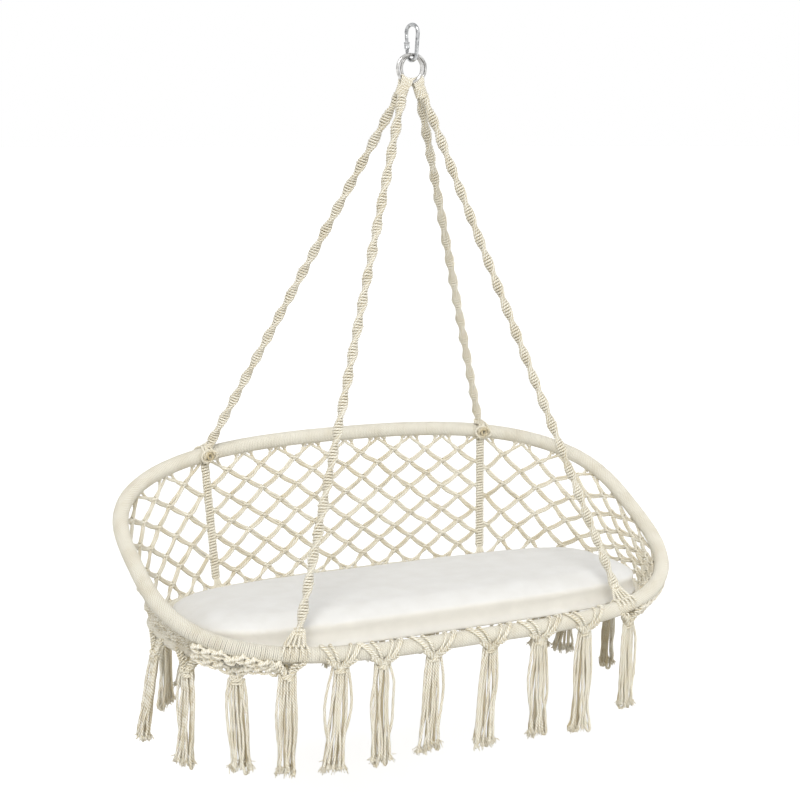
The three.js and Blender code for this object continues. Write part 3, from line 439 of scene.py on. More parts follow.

# %% [markdown]
# ## The finishes
#
# Undyed cotton cord is a warm off-white, matt, with a soft edge that sheen gives. Its grooves are painted
# darker and warmer than its ridges as painted shade, which is what makes a twisted cord read as one. The
# colour is mixed from a light and a dark cotton by that painted shade in the grooves, by the slow shade of the
# cotton itself and by each cord's own tint, which holds painted shade too. The cushion's canvas is whiter and
# finer, and its upright faces are painted lighter and creamier as painted light. The metal parts are zinc
# plated, bright with a slightly uneven roughness and dark patches painted in as reflections, and the hoops
# inside are plain black steel tube.

# %% Cotton cord, canvas and their like
def blank(name, colour, roughness):
    """A new material, its tree and its shader."""
    made = bpy.data.materials.new(name)
    made.use_nodes = True
    made.diffuse_color = (*colour, 1)
    shader = made.node_tree.nodes["Principled BSDF"]
    shader.inputs["Base Color"].default_value = (*colour, 1)
    shader.inputs["Roughness"].default_value = roughness
    return made, made.node_tree, shader


def placed(tree, name, **values):
    node = tree.nodes.new("ShaderNodeGroup")
    node.node_tree = bpy.data.node_groups[name]
    for label, value in values.items():
        node.inputs[label].default_value = value
    return node


def blend_colours(tree, share, light, dark):
    node = tree.nodes.new("ShaderNodeMix")
    node.data_type = "RGBA"
    node.inputs["A"].default_value = (*light, 1)
    node.inputs["B"].default_value = (*dark, 1)
    tree.links.new(share, node.inputs["Factor"])
    return node.outputs["Result"]


def bumped(tree, shader, height, distance, strength):
    node = tree.nodes.new("ShaderNodeBump")
    node.inputs["Distance"].default_value = distance
    node.inputs["Strength"].default_value = strength
    tree.links.new(height, node.inputs["Height"])
    tree.links.new(node.outputs["Normal"], shader.inputs["Normal"])


def cotton_cord(name, light, dark, lay, groove_shade=0.75, bump=0.0006):
    made, tree, shader = blank(name, light, 0.93)
    shader.inputs["Sheen Weight"].default_value = 0.25
    shader.inputs["Sheen Roughness"].default_value = 0.6
    uv = tree.nodes.new("ShaderNodeUVMap")
    uv.uv_map = "UVMap"
    place = tree.nodes.new("ShaderNodeTexCoord")
    strands = placed(tree, "strand_twist", Strands=3.0, Lay=lay)
    cotton = placed(tree, "cotton_fibre", Fineness=1400.0)
    tree.links.new(uv.outputs["UV"], strands.inputs["UV"])
    tree.links.new(place.outputs["Object"], cotton.inputs["Place"])
    slow = sum_node(tree, "MULTIPLY", sum_node(tree, "SUBTRACT", cotton.outputs["Shade"], 0.45), 0.9)
    # Painted shade: the grooves between the strands are darkened towards the dark cotton.
    deep = sum_node(tree, "MULTIPLY", strands.outputs["GrooveShade"], groove_shade)
    own_tone_and_shade = tree.nodes.new("ShaderNodeAttribute")
    own_tone_and_shade.attribute_name = "tone_and_shade"
    shade = sum_node(tree, "ADD", sum_node(tree, "ADD", deep, slow), own_tone_and_shade.outputs["Fac"])
    share = sum_node(tree, "MINIMUM", sum_node(tree, "MAXIMUM", shade, 0.0), 1.0)
    tree.links.new(blend_colours(tree, share, light, dark), shader.inputs["Base Color"])
    fine = sum_node(tree, "MULTIPLY", cotton.outputs["Height"], 0.35)
    bumped(tree, shader, sum_node(tree, "ADD", strands.outputs["Height"], fine), bump, 0.8)
    return made


def canvas_like(name, light, dark, threads, bump=0.00025, aside=None):
    made, tree, shader = blank(name, light, 0.88)
    shader.inputs["Sheen Weight"].default_value = 0.2
    shader.inputs["Sheen Roughness"].default_value = 0.5
    uv = tree.nodes.new("ShaderNodeUVMap")
    uv.uv_map = "UVMap"
    place = tree.nodes.new("ShaderNodeTexCoord")
    cloth = placed(tree, "plain_weave", Threads=threads)
    cotton = placed(tree, "cotton_fibre", Fineness=700.0)
    tree.links.new(uv.outputs["UV"], cloth.inputs["UV"])
    tree.links.new(place.outputs["Object"], cotton.inputs["Place"])
    slow = sum_node(tree, "MULTIPLY", sum_node(tree, "SUBTRACT", cotton.outputs["Shade"], 0.45), 0.7)
    # Painted shade: the spaces between the threads are darkened.
    gap_shade = sum_node(tree, "MULTIPLY", cloth.outputs["GapShade"], 0.45)
    share = sum_node(tree, "MINIMUM", sum_node(tree, "MAXIMUM", sum_node(tree, "ADD", gap_shade, slow), 0.0), 1.0)
    colour = blend_colours(tree, share, light, dark)
    # Painted light: faces marked upright get the lighter, creamier side colour, as if lit from the front.
    if aside is not None:
        side_light_share = tree.nodes.new("ShaderNodeAttribute")
        side_light_share.attribute_name = "upright"
        warmer = blend_colours(tree, share, aside, dark)
        both = tree.nodes.new("ShaderNodeMix")
        both.data_type = "RGBA"
        tree.links.new(side_light_share.outputs["Fac"], both.inputs["Factor"])
        tree.links.new(colour, both.inputs["A"])
        tree.links.new(warmer, both.inputs["B"])
        colour = both.outputs["Result"]
    tree.links.new(colour, shader.inputs["Base Color"])
    fine = sum_node(tree, "MULTIPLY", cotton.outputs["Height"], 0.4)
    bumped(tree, shader, sum_node(tree, "ADD", cloth.outputs["Height"], fine), bump, 0.7)
    return made


# The dark cotton is the cotton's own uneven colour and also the colour of painted shade in grooves and deep
# cords.
CREAM, TAN_AND_SHADE = (0.925, 0.895, 0.79), (0.50, 0.395, 0.19)
cord_look = cotton_cord("cotton_cord", CREAM, TAN_AND_SHADE, LAY, groove_shade=1.25)
winding_look = cotton_cord("cotton_winding", (0.84, 0.81, 0.71), (0.52, 0.43, 0.26), LAY, groove_shade=0.75,
                           bump=0.0005)
strand_look = cotton_cord("cotton_tassel", (0.95, 0.92, 0.81), TAN_AND_SHADE, 0.021, groove_shade=1.6)
# The lace's cotton is a lighter copy of the cord's, as painted light for knots that hang in the rim's shade.
lace_lit_look = cotton_cord("cotton_lace_lit", (0.96, 0.925, 0.815), (0.60, 0.48, 0.24), LAY, groove_shade=1.1)
# The canvas's side colour is painted light on the cushion's upright faces, lighter and creamier than its top.
canvas_look = canvas_like("cotton_canvas", (0.855, 0.850, 0.828), (0.70, 0.68, 0.63), 850.0,
                          aside=(0.92, 0.895, 0.83))
tape_look = canvas_like("cotton_tape", (0.80, 0.75, 0.66), (0.58, 0.52, 0.42), 1100.0)
wadding_look = canvas_like("wadding", (0.86, 0.86, 0.85), (0.70, 0.70, 0.69), 300.0)
print("soft finishes", [m.name for m in bpy.data.materials])

# %% [markdown]
# Metal shows what is round it, so its finish is mostly roughness. A noise makes the plating patchy, from a
# light to a darker grey: on the plated parts and the rings these dark patches are painted reflections of dark
# surroundings. The same noise makes the roughness uneven, and a finer one gives the tiny dents of barrel
# plating. The black tube inside the hoops has mill scale, which is blotchy and dull.

# %% Plated and plain steel
def metal_like(name, light, dark, roughness, spread, metallic, blotch, bump):
    made, tree, shader = blank(name, light, roughness)
    shader.inputs["Metallic"].default_value = metallic
    place = tree.nodes.new("ShaderNodeTexCoord")
    patches = tree.nodes.new("ShaderNodeTexNoise")
    patches.inputs["Scale"].default_value = blotch
    patches.inputs["Detail"].default_value = 5
    tree.links.new(place.outputs["Object"], patches.inputs["Vector"])
    uneven = sum_node(tree, "MULTIPLY_ADD", patches.outputs["Fac"], spread, roughness - spread / 2)
    tree.links.new(uneven, shader.inputs["Roughness"])
    # Painted reflection: the strong contrast between the light and the dark grey stands for dark surroundings
    # seen in the plated parts and the rings; on the black tube the same blotches are its mill scale.
    contrast = 2.4
    painted_reflection_and_scale = sum_node(tree, "MULTIPLY_ADD", patches.outputs["Fac"], contrast, 0.5 - contrast / 2)
    share = sum_node(tree, "MINIMUM", sum_node(tree, "MAXIMUM", painted_reflection_and_scale, 0.0), 1.0)
    tree.links.new(blend_colours(tree, share, light, dark), shader.inputs["Base Color"])
    dents = placed(tree, "cotton_fibre", Fineness=blotch * 9)
    tree.links.new(place.outputs["Object"], dents.inputs["Place"])
    bumped(tree, shader, dents.outputs["Height"], bump, 0.25)
    return made


zinc_look = metal_like("zinc_plate", (0.60, 0.61, 0.615), (0.19, 0.195, 0.20), roughness=0.20, spread=0.12,
                       metallic=1.0, blotch=150.0, bump=0.0002)
ring_look = metal_like("ring_steel", (0.68, 0.675, 0.66), (0.20, 0.195, 0.185), roughness=0.18, spread=0.10,
                       metallic=1.0, blotch=110.0, bump=0.0002)
spring_look = metal_like("spring_steel", (0.55, 0.56, 0.58), (0.40, 0.41, 0.43), roughness=0.30, spread=0.2,
                         metallic=1.0, blotch=300.0, bump=0.0001)
tube_look = metal_like("black_tube", (0.045, 0.047, 0.05), (0.085, 0.08, 0.075), roughness=0.55, spread=0.25,
                       metallic=0.7, blotch=60.0, bump=0.0003)
hidden_looks = {
    "rim_tube": tube_look, "seat_tube": tube_look,
    "gate_pin": zinc_look, "gate_plunger": spring_look, "gate_spring": spring_look,
}
for node, look in hidden_looks.items():
    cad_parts[node].data.materials.clear()
    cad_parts[node].data.materials.append(look)
print("metal finishes", zinc_look.name, ring_look.name, spring_look.name, tube_look.name)

# %% [markdown]
# ## The hoops' winding
#
# The maker winds thin cord round and round each tube until no steel shows. The line of that cord is a helix
# whose axis is the hoop. Its pitch is the cord's own thickness, so the turns lie side by side and give the
# fine ribs that the picture shows. A small seeded wobble keeps it from looking machine-made.

# %% Wind the hoops
chance = np.random.default_rng(21)


def wind(bundle, hoop, start, end, core, cord, sides=6, per_turn=10):
    """Winds cord round a stretch of a hoop."""
    turns = max(1, round(abs(end - start) / cord))
    steps = turns * per_turn + 1
    share = np.linspace(0, 1, steps)
    wobble = np.interp(share * turns, np.arange(turns + 2), chance.normal(0, 0.035, turns + 2)) * cord
    length = start + (end - start) * share + wobble
    turn = -2 * math.pi * turns * share
    proud = np.interp(share * turns, np.arange(turns + 2), chance.normal(0, 0.00012, turns + 2))
    _, outward, upward = hoop.ways(length)
    lead = np.cos(turn)[:, None] * outward + np.sin(turn)[:, None] * upward
    line = hoop.at(length) + (core + cord / 2 + proud)[:, None] * lead
    bundle.lay(line, cord / 2 * 1.04, sides, lead=lead)


front_end, back_end = RIM_FRONT + 0.025, RIM_BACK - 0.011
side_start, side_end = RIM_BACK + 0.011, RIM_FRONT - 0.025
rim_stretches = {
    "rim_wrap_back": (-back_end, back_end),
    "rim_wrap_front": (front_end, rim.length - front_end),
    "rim_wrap_right": (side_start, side_end),
    "rim_wrap_left": (rim.length - side_end, rim.length - side_start),
}
for solid, (start, end) in rim_stretches.items():
    winding = Cords()
    wind(winding, rim, start, end, RIM_CORE, RIM_CORD)
    winding.piece(solid.replace("wrap", "winding"), winding_look, "chair", solid)
seat_stretches = {
    "seat_wrap_back": (-(SEAT_FOOT - 0.011), SEAT_FOOT - 0.011),
    "seat_wrap_front": (SEAT_FOOT + 0.011, seat.length - SEAT_FOOT - 0.011),
}
for solid, (start, end) in seat_stretches.items():
    winding = Cords()
    wind(winding, seat, start, end, SEAT_CORE, SEAT_CORD, per_turn=8)
    winding.piece(solid.replace("wrap", "winding"), winding_look, "chair", solid)

# %% [markdown]
# ## Knotted ropes and posts
#
# The four ropes are sinnets of half knots: two working cords are tied over two straight core cords, always
# the same way round, so the flat band slowly turns as it grows. Seen closely, each working cord is a
# flattened helix. It crosses the band's face almost level and climbs at its edge, which a sine added to its
# rise gives. The posts at the back are tied by turns left and right, so their band stays flat.

# %% The sinnet maker
CORD = 0.0055


def sinnet(bundle, start, end, half_width, half_depth, pitch, full_turn=None, lean=0.0, cord=CORD,
           per_turn=12):
    """Ties half knots in two cords round two core cords, from start to end."""
    start, end = np.asarray(start, float), np.asarray(end, float)
    axis = unit(end - start)
    long = float(np.linalg.norm(end - start))
    flat = unit(np.cross(axis, [0.0, 1.0, 0.0]))
    other = np.cross(axis, flat)

    def band(along):
        turn = lean + (2 * math.pi * along / full_turn if full_turn else 0 * along)
        wide = np.cos(turn)[:, None] * flat + np.sin(turn)[:, None] * other
        return wide, np.cross(axis, wide)

    turns = long / pitch
    angle = np.linspace(0, 2 * math.pi * turns, int(turns * per_turn) + 1)
    for half in (0, math.pi):
        rise = pitch / (2 * math.pi) * (angle + 0.40 * np.sin(2 * angle))
        marks = np.arange(0, angle[-1] + 7, 3.1)
        loose = 1 + 0.05 * np.interp(angle, marks, chance.normal(0, 1, len(marks)))
        wide, deep = band(rise)
        c, s = np.cos(angle + half)[:, None], np.sin(angle + half)[:, None]
        line = start + rise[:, None] * axis + loose[:, None] * half_width * c * wide + half_depth * s * deep
        bundle.lay(line, cord / 2, 6, lead=half_depth * c * wide + half_width * s * deep)
    # The two core cords; their browner colour is painted shade, as they lie inside the knots.
    along = np.linspace(0, long, int(long / 0.01) + 2)
    wide, _ = band(along)
    for side in (-1, 1):
        bundle.lay(start + along[:, None] * axis + side * cord / 2 * wide, cord / 2, 6, tone_and_shade=0.75)


def coil(bundle, centre, axis, wide, half_width, half_depth, turns, rise, cord=CORD, per_turn=12, phase=0.0,
         sides=6, tone_and_shade=0.0):
    """Knots: a short flattened coil about an axis, for one place or for many at once."""
    centre, axis, wide = (np.atleast_2d(np.asarray(v, float)) for v in (centre, axis, wide))
    many = max(len(centre), len(axis), len(wide))
    centre, axis, wide = (np.broadcast_to(v, (many, 3)) for v in (centre, axis, wide))
    deep = np.cross(axis, wide)
    angle = np.linspace(0, 2 * math.pi * turns, int(turns * per_turn) + 1)
    c, s = np.cos(angle + phase)[None, :, None], np.sin(angle + phase)[None, :, None]
    lift = (rise * (np.linspace(0, 1, len(angle)) - 0.5))[None, :, None]
    axis, wide, deep = axis[:, None], wide[:, None], deep[:, None]
    line = centre[:, None] + lift * axis + half_width * c * wide + half_depth * s * deep
    bundle.lay(line, cord / 2, sides, lead=half_depth * c * wide + half_width * s * deep, tone_and_shade=tone_and_shade)


print("sinnets and coils are ready")

# %% [markdown]
# ## Rope eyes
#
# At the top, each side's cords double over their ring and are bound under it. Six cords lie side by side on
# the ring's wire, come down in front and behind, draw together and go under a winding of four turns. Below
# it they part into the front rope and the back rope.

# %% Make the rope eyes and the ropes
PULL = {1: np.array([0.354, 0, -0.9352]), -1: np.array([-0.354, 0, -0.9352])}
RING = {side: np.array([side * 0.006175, side * 0.00355, -0.082303]) for side in (1, -1)}
RING_RADIUS, RING_WIRE = 0.02775, 0.00325
SIDE_NAME = {1: "right", -1: "left"}
BACKWARD = np.array([0.0, 1.0, 0.0])
# Each cord's way down from the ring: how far below its wire, in front or behind, and from the next cord
EYE_DOWN = (
    (0.034, 0.0042, 0.0030), (0.022, 0.0038, 0.0024), (0.013, 0.0045, 0.0029), (0.005, 0.0058, 0.0038),
)


def rope_eye(side):
    bundle = Cords()
    pull = PULL[side]
    seat_point = RING[side] + RING_RADIUS * pull
    broad = unit(np.cross(pull, BACKWARD))
    over = RING_WIRE + CORD / 2 + 0.0003
    for i in range(6):
        slot = i - 2.5
        top = seat_point + slot * 0.0043 * broad
        bend = (slot * 0.0043) ** 2 / (2 * RING_RADIUS)
        angle = np.linspace(0, math.pi, 9)[:, None]
        arch = top - bend * pull - over * np.cos(angle) * BACKWARD - (over + 0.0011) * np.sin(angle) * pull
        down = [
            [seat_point + low * pull + y * face * BACKWARD + slot * wide * broad for low, y, wide in EYE_DOWN]
            for face in (-1, 1)
        ]
        line = np.concatenate([down[0], arch, down[1][::-1]])
        bundle.lay(smooth_line(line, 44), CORD / 2, 8)
    coil(bundle, seat_point + 0.0205 * pull, pull, broad, half_width=0.0112, half_depth=0.0092, turns=4.25,
         rise=0.018, cord=0.0048, per_turn=18, phase=2.2, sides=8)
    return bundle.piece(f"eye_cords_{SIDE_NAME[side]}", cord_look, "chair", f"rope_eye_{SIDE_NAME[side]}")


def rope_ends(side, back):
    """Where a rope starts under its eye, and the point of the rim's middle that it is tied to."""
    length = RIM_BACK if back else RIM_FRONT
    start = RING[side] + (RING_RADIUS + 0.029) * PULL[side] + (1 if back else -1) * 0.0085 * BACKWARD
    return start, rim.at(length if side > 0 else rim.length - length)


for side in (1, -1):
    rope_eye(side)
    for back in (False, True):
        bundle = Cords()
        start, tied = rope_ends(side, back)
        way = unit(tied - start)
        stop = tied - way * (0.030 if back else 0.046)
        sinnet(bundle, start, stop, 0.0088, 0.0042, 0.0128, full_turn=0.105, lean=0.6 * side + back)
        name = f"rope_{'back' if back else 'front'}_{SIDE_NAME[side]}"
        bundle.piece(name.replace("rope", "sinnet"), cord_look, "chair", name)

# %% [markdown]
# ## Lashings on the rim
#
# The front ropes end about 3 cm above the rim. There their cords fan out over its top, some in front and
# some behind, and sink into the winding, so the rope hugs some 5 cm of the rim. At the back the cords cross
# in a round knot about the rim, which shows a rosette on its inner side, and the post starts from under it.
# Each lashing has the hoop's own winding under it.

# %% Lash the ropes to the rim
def wrap_over(bundle, hoop, length, above, radius, first_turn, turns, drift, cord=CORD):
    """One cord that comes from a point, goes round the hoop and ends on it."""
    turn = np.linspace(first_turn, first_turn - 2 * math.pi * turns, max(10, int(18 * turns)))
    ring = hoop.round(length + drift * np.linspace(0, 1, len(turn)), turn, radius)
    top = ring[0] * 0.5 + np.asarray(above) * 0.5
    line = np.concatenate([[above, top + (ring[0] - ring[1]) * 0.35], ring])
    bundle.lay(smooth_line(line, 3 * len(line)), cord / 2, 6)


def sinking(bundle, hoop, length, above, face, reach, cord=CORD):
    """One cord from over the hoop's top, down one face of it, until it sinks into the winding."""
    turns = math.pi / 2 + face * np.array([-0.25, 0.15, 0.6, 1.05, 1.5])
    radii = SINK_FROM + np.array([0.0022, 0.0004, 0.0, -0.0012, -0.0060])
    drift = reach * np.array([0.0, 0.2, 0.5, 0.8, 1.0])
    line = [above, *(hoop.round(length + d, t, r) for d, t, r in zip(drift, turns, radii))]
    bundle.lay(smooth_line(line, 30), cord / 2, 6)


SINK_FROM = RIM_OUTSIDE + CORD / 2


def front_lashing(side):
    bundle = Cords()
    middle = RIM_FRONT if side > 0 else rim.length - RIM_FRONT
    wind(bundle, rim, middle - 0.025, middle + 0.025, RIM_CORE, RIM_CORD)
    start, tied = rope_ends(side, False)
    way = unit(tied - start)
    along, outward, _ = rim.ways(middle)
    for i in range(9):
        slot = (i - 4) / 4
        face = -1 if i % 2 == 0 else 1
        gather = tied - way * 0.052 + slot * 0.0085 * along - face * 0.002 * outward
        sinking(bundle, rim, middle + slot * 0.021, gather, face, slot * 0.006)
    for step, wide in enumerate((0.0098, 0.0092)):
        coil(bundle, tied - way * (0.049 - 0.009 * step), way, unit(along), wide, half_depth=0.0062,
             turns=1.5, rise=0.007, per_turn=16, phase=1.3 * step)
    name = f"lashing_front_{SIDE_NAME[side]}"
    return bundle.piece(name.replace("lashing", "hitch"), cord_look, "chair", name)


def crossing_knot(bundle, hoop, middle, radius, reach, cord=CORD, loops=4):
    """Loops round a hoop that lean both ways and cross in front."""
    turn = np.linspace(0, 2 * math.pi, 29)
    for i in range(loops):
        lean = reach * (1 if i % 2 else -1)
        shift = (i // 2 - 0.5) * cord * 1.3
        length = middle + shift + lean * np.cos(turn)
        line = hoop.round(length, turn, radius + 0.0018 * np.cos(2 * turn + i))
        _, outward, upward = hoop.ways(length)
        lead = np.cos(turn)[:, None] * outward + np.sin(turn)[:, None] * upward
        bundle.lay(line, cord / 2, 6, lead=lead)


def rosette(bundle, hoop, middle, turn, radius, wide, rings, cord=CORD):
    """Rings of cord round a small eye, laid flat on one side of a hoop."""
    circle = np.linspace(0, 2 * math.pi, 33)
    # Each inner ring gets a browner colour as painted shade.
    for i in range(rings):
        reach = (wide - i * cord * 0.98) * (1 + 0.10 * np.cos(2 * circle + 1.7 * i))
        low = 0.80 * reach / hoop_outside[id(hoop)]
        line = hoop.round(middle + reach * np.cos(circle), turn + low * np.sin(circle),
                          radius + 0.0016 * i + 0.0021 * np.cos(3 * circle + 2 * i))
        bundle.lay(line, cord / 2, 6, tone_and_shade=0.25 * i)


hoop_outside = {id(rim): RIM_OUTSIDE + CORD, id(seat): SEAT_OUTSIDE + CORD}


def back_lashing(side):
    bundle = Cords()
    middle = RIM_BACK if side > 0 else rim.length - RIM_BACK
    wind(bundle, rim, middle - 0.011, middle + 0.011, RIM_CORE, RIM_CORD)
    crossing_knot(bundle, rim, middle, RIM_OUTSIDE + CORD / 2 + 0.001, 0.0085)
    rosette(bundle, rim, middle, math.pi, RIM_OUTSIDE + CORD / 2 + 0.0035, 0.0175, 3)
    start, tied = rope_ends(side, True)
    way = unit(tied - start)
    along, _, _ = rim.ways(middle)
    coil(bundle, tied - way * 0.027, way, along, 0.0100, 0.0075, 2.2, 0.010, per_turn=16)
    name = f"lashing_back_{SIDE_NAME[side]}"
    return bundle.piece(name.replace("lashing", "hitch"), cord_look, "chair", name)


for side in (1, -1):
    front_lashing(side)
    back_lashing(side)

# %% [markdown]
# ## Posts
#
# A post is a flat sinnet that hangs from the back knot to the seat hoop and keeps the two hoops apart in
# use. Its cords spread at the foot and are wound round the seat hoop.

# %% Tie the posts
def post(side):
    head, foot = rim.at(side * RIM_BACK), seat.at(side * SEAT_FOOT)
    way = unit(foot - head)
    bundle = Cords()
    sinnet(bundle, head + way * 0.022, foot - way * 0.034, 0.0082, 0.0045, 0.0128, lean=0.15 * side)
    bundle.piece(f"post_sinnet_{SIDE_NAME[side]}", cord_look, "chair", f"post_{SIDE_NAME[side]}")
    bundle = Cords()
    middle = side * SEAT_FOOT % seat.length
    wind(bundle, seat, middle - 0.011, middle + 0.011, SEAT_CORE, SEAT_CORD)
    for i in range(4):
        slot = i - 1.5
        above = foot - way * 0.038 + slot * 0.002 * seat.ways(middle)[0]
        wrap_over(bundle, seat, middle + slot * 0.0062, above, SEAT_OUTSIDE + CORD / 2, first_turn=1.7,
                  turns=1.2, drift=0.003)
    return bundle.piece(f"post_hitch_{SIDE_NAME[side]}", cord_look, "chair", f"post_foot_{SIDE_NAME[side]}")


for side in (1, -1):
    post(side)

# %% [markdown]
# ## Nets
#
# A net is a grid of diamonds. Two cords run together along each side of a diamond, and where four sides meet
# they are tied in a square knot. The net is drawn on a surface between the two hoops that is measured in
# columns and rows: knots sit where column plus row is even. The cords leave a knot at its corners, not at
# its middle, which rounds the openings. Next to the hoops each pair of cords parts, and both cords are
# hitched to the hoop a little way apart, which leaves the small triangles along the rim.

# %% The net maker
def wall(rim_from, rim_to, seat_from, seat_to, columns, rows):
    """The surface between stretches of the two hoops, v 0 on the seat hoop and v 1 on the rim."""
    def surface(u, v):
        share = u / (2 * columns)
        low = seat.at(seat_from + (seat_to - seat_from) * share)
        high = rim.at(rim_from + (rim_to - rim_from) * share)
        apart = np.linalg.norm(high - low, axis=-1, keepdims=True)
        first, last = SEAT_OUTSIDE / apart, 1 - RIM_OUTSIDE / apart
        level = (v / (2 * rows))[..., None]
        return low + (high - low) * (first + (last - first) * level)
    return surface


def net(bundle, surface, columns, rows, cord=CORD, knot=(0.0074, 0.0048), flatness=1.0, split=0.009,
        sag=0.0022, steps=31, lobes=0.2, tone_and_shade=-0.03):
    """Ties the diamonds of a net over a surface."""
    i, j = np.meshgrid(np.arange(2 * columns + 1), np.arange(2 * rows + 1), indexing="ij")
    tied = (i + j) % 2 == 0
    i, j = i[tied].astype(float), j[tied].astype(float)
    low_edge, high_edge = j == 0, j == 2 * rows
    inner = ~(low_edge | high_edge)

    def directions(u, v):
        right = unit(surface(u + 0.2, v) - surface(u - 0.2, v))
        up = surface(u, np.minimum(v + 0.2, 2 * rows)) - surface(u, np.maximum(v - 0.2, 0))
        up = unit(up - (up * right).sum(-1, keepdims=True) * right)
        return right, up

    right, up = directions(i, j)
    jitter = chance.normal(0, 0.0012, (len(i), 3)) * inner[:, None]
    places = surface(i, j) + jitter
    tip = np.cross(right, up)
    sway = chance.normal(0, 0.12, (len(i), 1))
    wide = unit(right[inner] + sway[inner] * up[inner])
    for part in (-1, 1):
        centre = places[inner] + part * 0.0024 * up[inner] + part * 0.0010 * flatness * tip[inner]
        axis = unit(up[inner] + part * 0.35 * right[inner])
        broad = unit(np.cross(np.cross(axis, wide), axis))
        coil(bundle, centre, axis, broad, knot[0], knot[1] * flatness, 1.25, 0.0044, cord=cord, per_turn=12,
             phase=0.5 + 1.5 * part)
    number = {(a, b): k for k, (a, b) in enumerate(zip(i.astype(int), j.astype(int)))}
    pairs = [(k, number[(a + step, b + 1)], step) for (a, b), k in number.items() for step in (-1, 1)
             if (a + step, b + 1) in number]
    low, high, lean = (np.array(v) for v in zip(*pairs))
    from_hoop, to_hoop = low_edge[low][:, None], high_edge[high][:, None]
    leave, shift = 0.0042 * lean[:, None], lean[:, None] * split * 0.9
    start = places[low] + np.where(from_hoop, 0, leave * right[low] + 0.0028 * up[low])
    end = places[high] - np.where(to_hoop, 0, leave * right[high] + 0.0028 * up[high])
    along = unit(end - start)
    facing = unit(np.cross(right[low], up[low]))
    beside = np.cross(facing, along)
    share = np.linspace(0, 1, steps)[None, :, None]
    for way in (-1, 1):
        apart = np.where(from_hoop, split * way, cord * 0.44 * way)
        apart_end = np.where(to_hoop, split * way, cord * 0.44 * way)
        at_low = np.where(from_hoop, right[low] * (apart + shift), beside * apart)
        at_high = np.where(to_hoop, right[high] * (apart_end - shift), beside * apart_end)
        line = start[:, None] * (1 - share) + end[:, None] * share
        line = line + at_low[:, None] * (1 - share) ** 1.5 + at_high[:, None] * share ** 1.5
        line = line + beside[:, None] * cord * 0.13 * way * np.sin(math.pi * share)
        wave = chance.normal(0, 0.0005, (len(low), 1, 1)) * np.sin(2 * math.pi * share)
        line = line - up[low][:, None] * sag * np.sin(math.pi * share) + beside[:, None] * wave + \
            facing[:, None] * chance.normal(0, 0.0008, (len(low), 1, 1))
        bundle.lay(line, cord * 0.58, 6, lobes=lobes, tone_and_shade=tone_and_shade + (0.16 if way > 0 else 0.0))
        for edge, index, at in ((low_edge[low], low, at_low), (high_edge[high], high, at_high)):
            if edge.any():
                spot = places[index][edge] + at[edge]
                coil(bundle, spot, up[index][edge], right[index][edge], 0.0042, 0.0038, 1.3, 0.0045,
                     cord=cord * 0.9, per_turn=10)


NET_INSET, BESIDE_POST = 0.003, 0.014
walls = {}
right_side = (
    RIM_BACK + BESIDE_POST, RIM_CORNER - NET_INSET, SEAT_FOOT + BESIDE_POST, SEAT_CORNER - NET_INSET,
)
walls["net_back"] = (
    -RIM_BACK + BESIDE_POST, RIM_BACK - BESIDE_POST, -SEAT_FOOT + BESIDE_POST, SEAT_FOOT - BESIDE_POST, 8, 5,
)
walls["net_right"] = (*right_side, 7, 4)
walls["net_left"] = (
    rim.length - right_side[1], rim.length - right_side[0],
    seat.length - right_side[3], seat.length - right_side[2], 7, 4,
)
for solid, size in walls.items():
    bundle = Cords()
    net(bundle, wall(*size), size[4], size[5])
    bundle.piece(solid.replace("net", "mesh"), cord_look, "chair", solid)

# %% [markdown]
# ## Lace at the front corners
#
# Round the front corners the two hoops come close together. Between them is one row of small diamonds, and
# outside it hangs a dense lace of chunky knots that reaches from the rim's underside over the seat hoop. It
# has two rows of crossed knots, linked by short double cords. Loops hang between the lowest knots and
# scallop its edge. The lower row dips to each tassel of the seat hoop and rises between them, so the places
# of these tassels come first: shares of the hoop's length, from its back middle towards the right.

# %% Tie the lace
SEAT_SHARES = (0.03, 0.078, 0.175, 0.2007, 0.2458, 0.278, 0.6716, 0.7079, 0.7507, 0.8222, 0.853, 0.943,
               0.985)


def loop_between(bundle, a, b, middle, pull, bow):
    """A loop of cord from one knot to the next by way of a middle point."""
    line = [a, a * (1 - pull) + middle * pull + bow, middle, b * (1 - pull) + middle * pull + bow, b]
    bundle.lay(smooth_line(line, 25), 0.0029, 6, lobes=0.18)


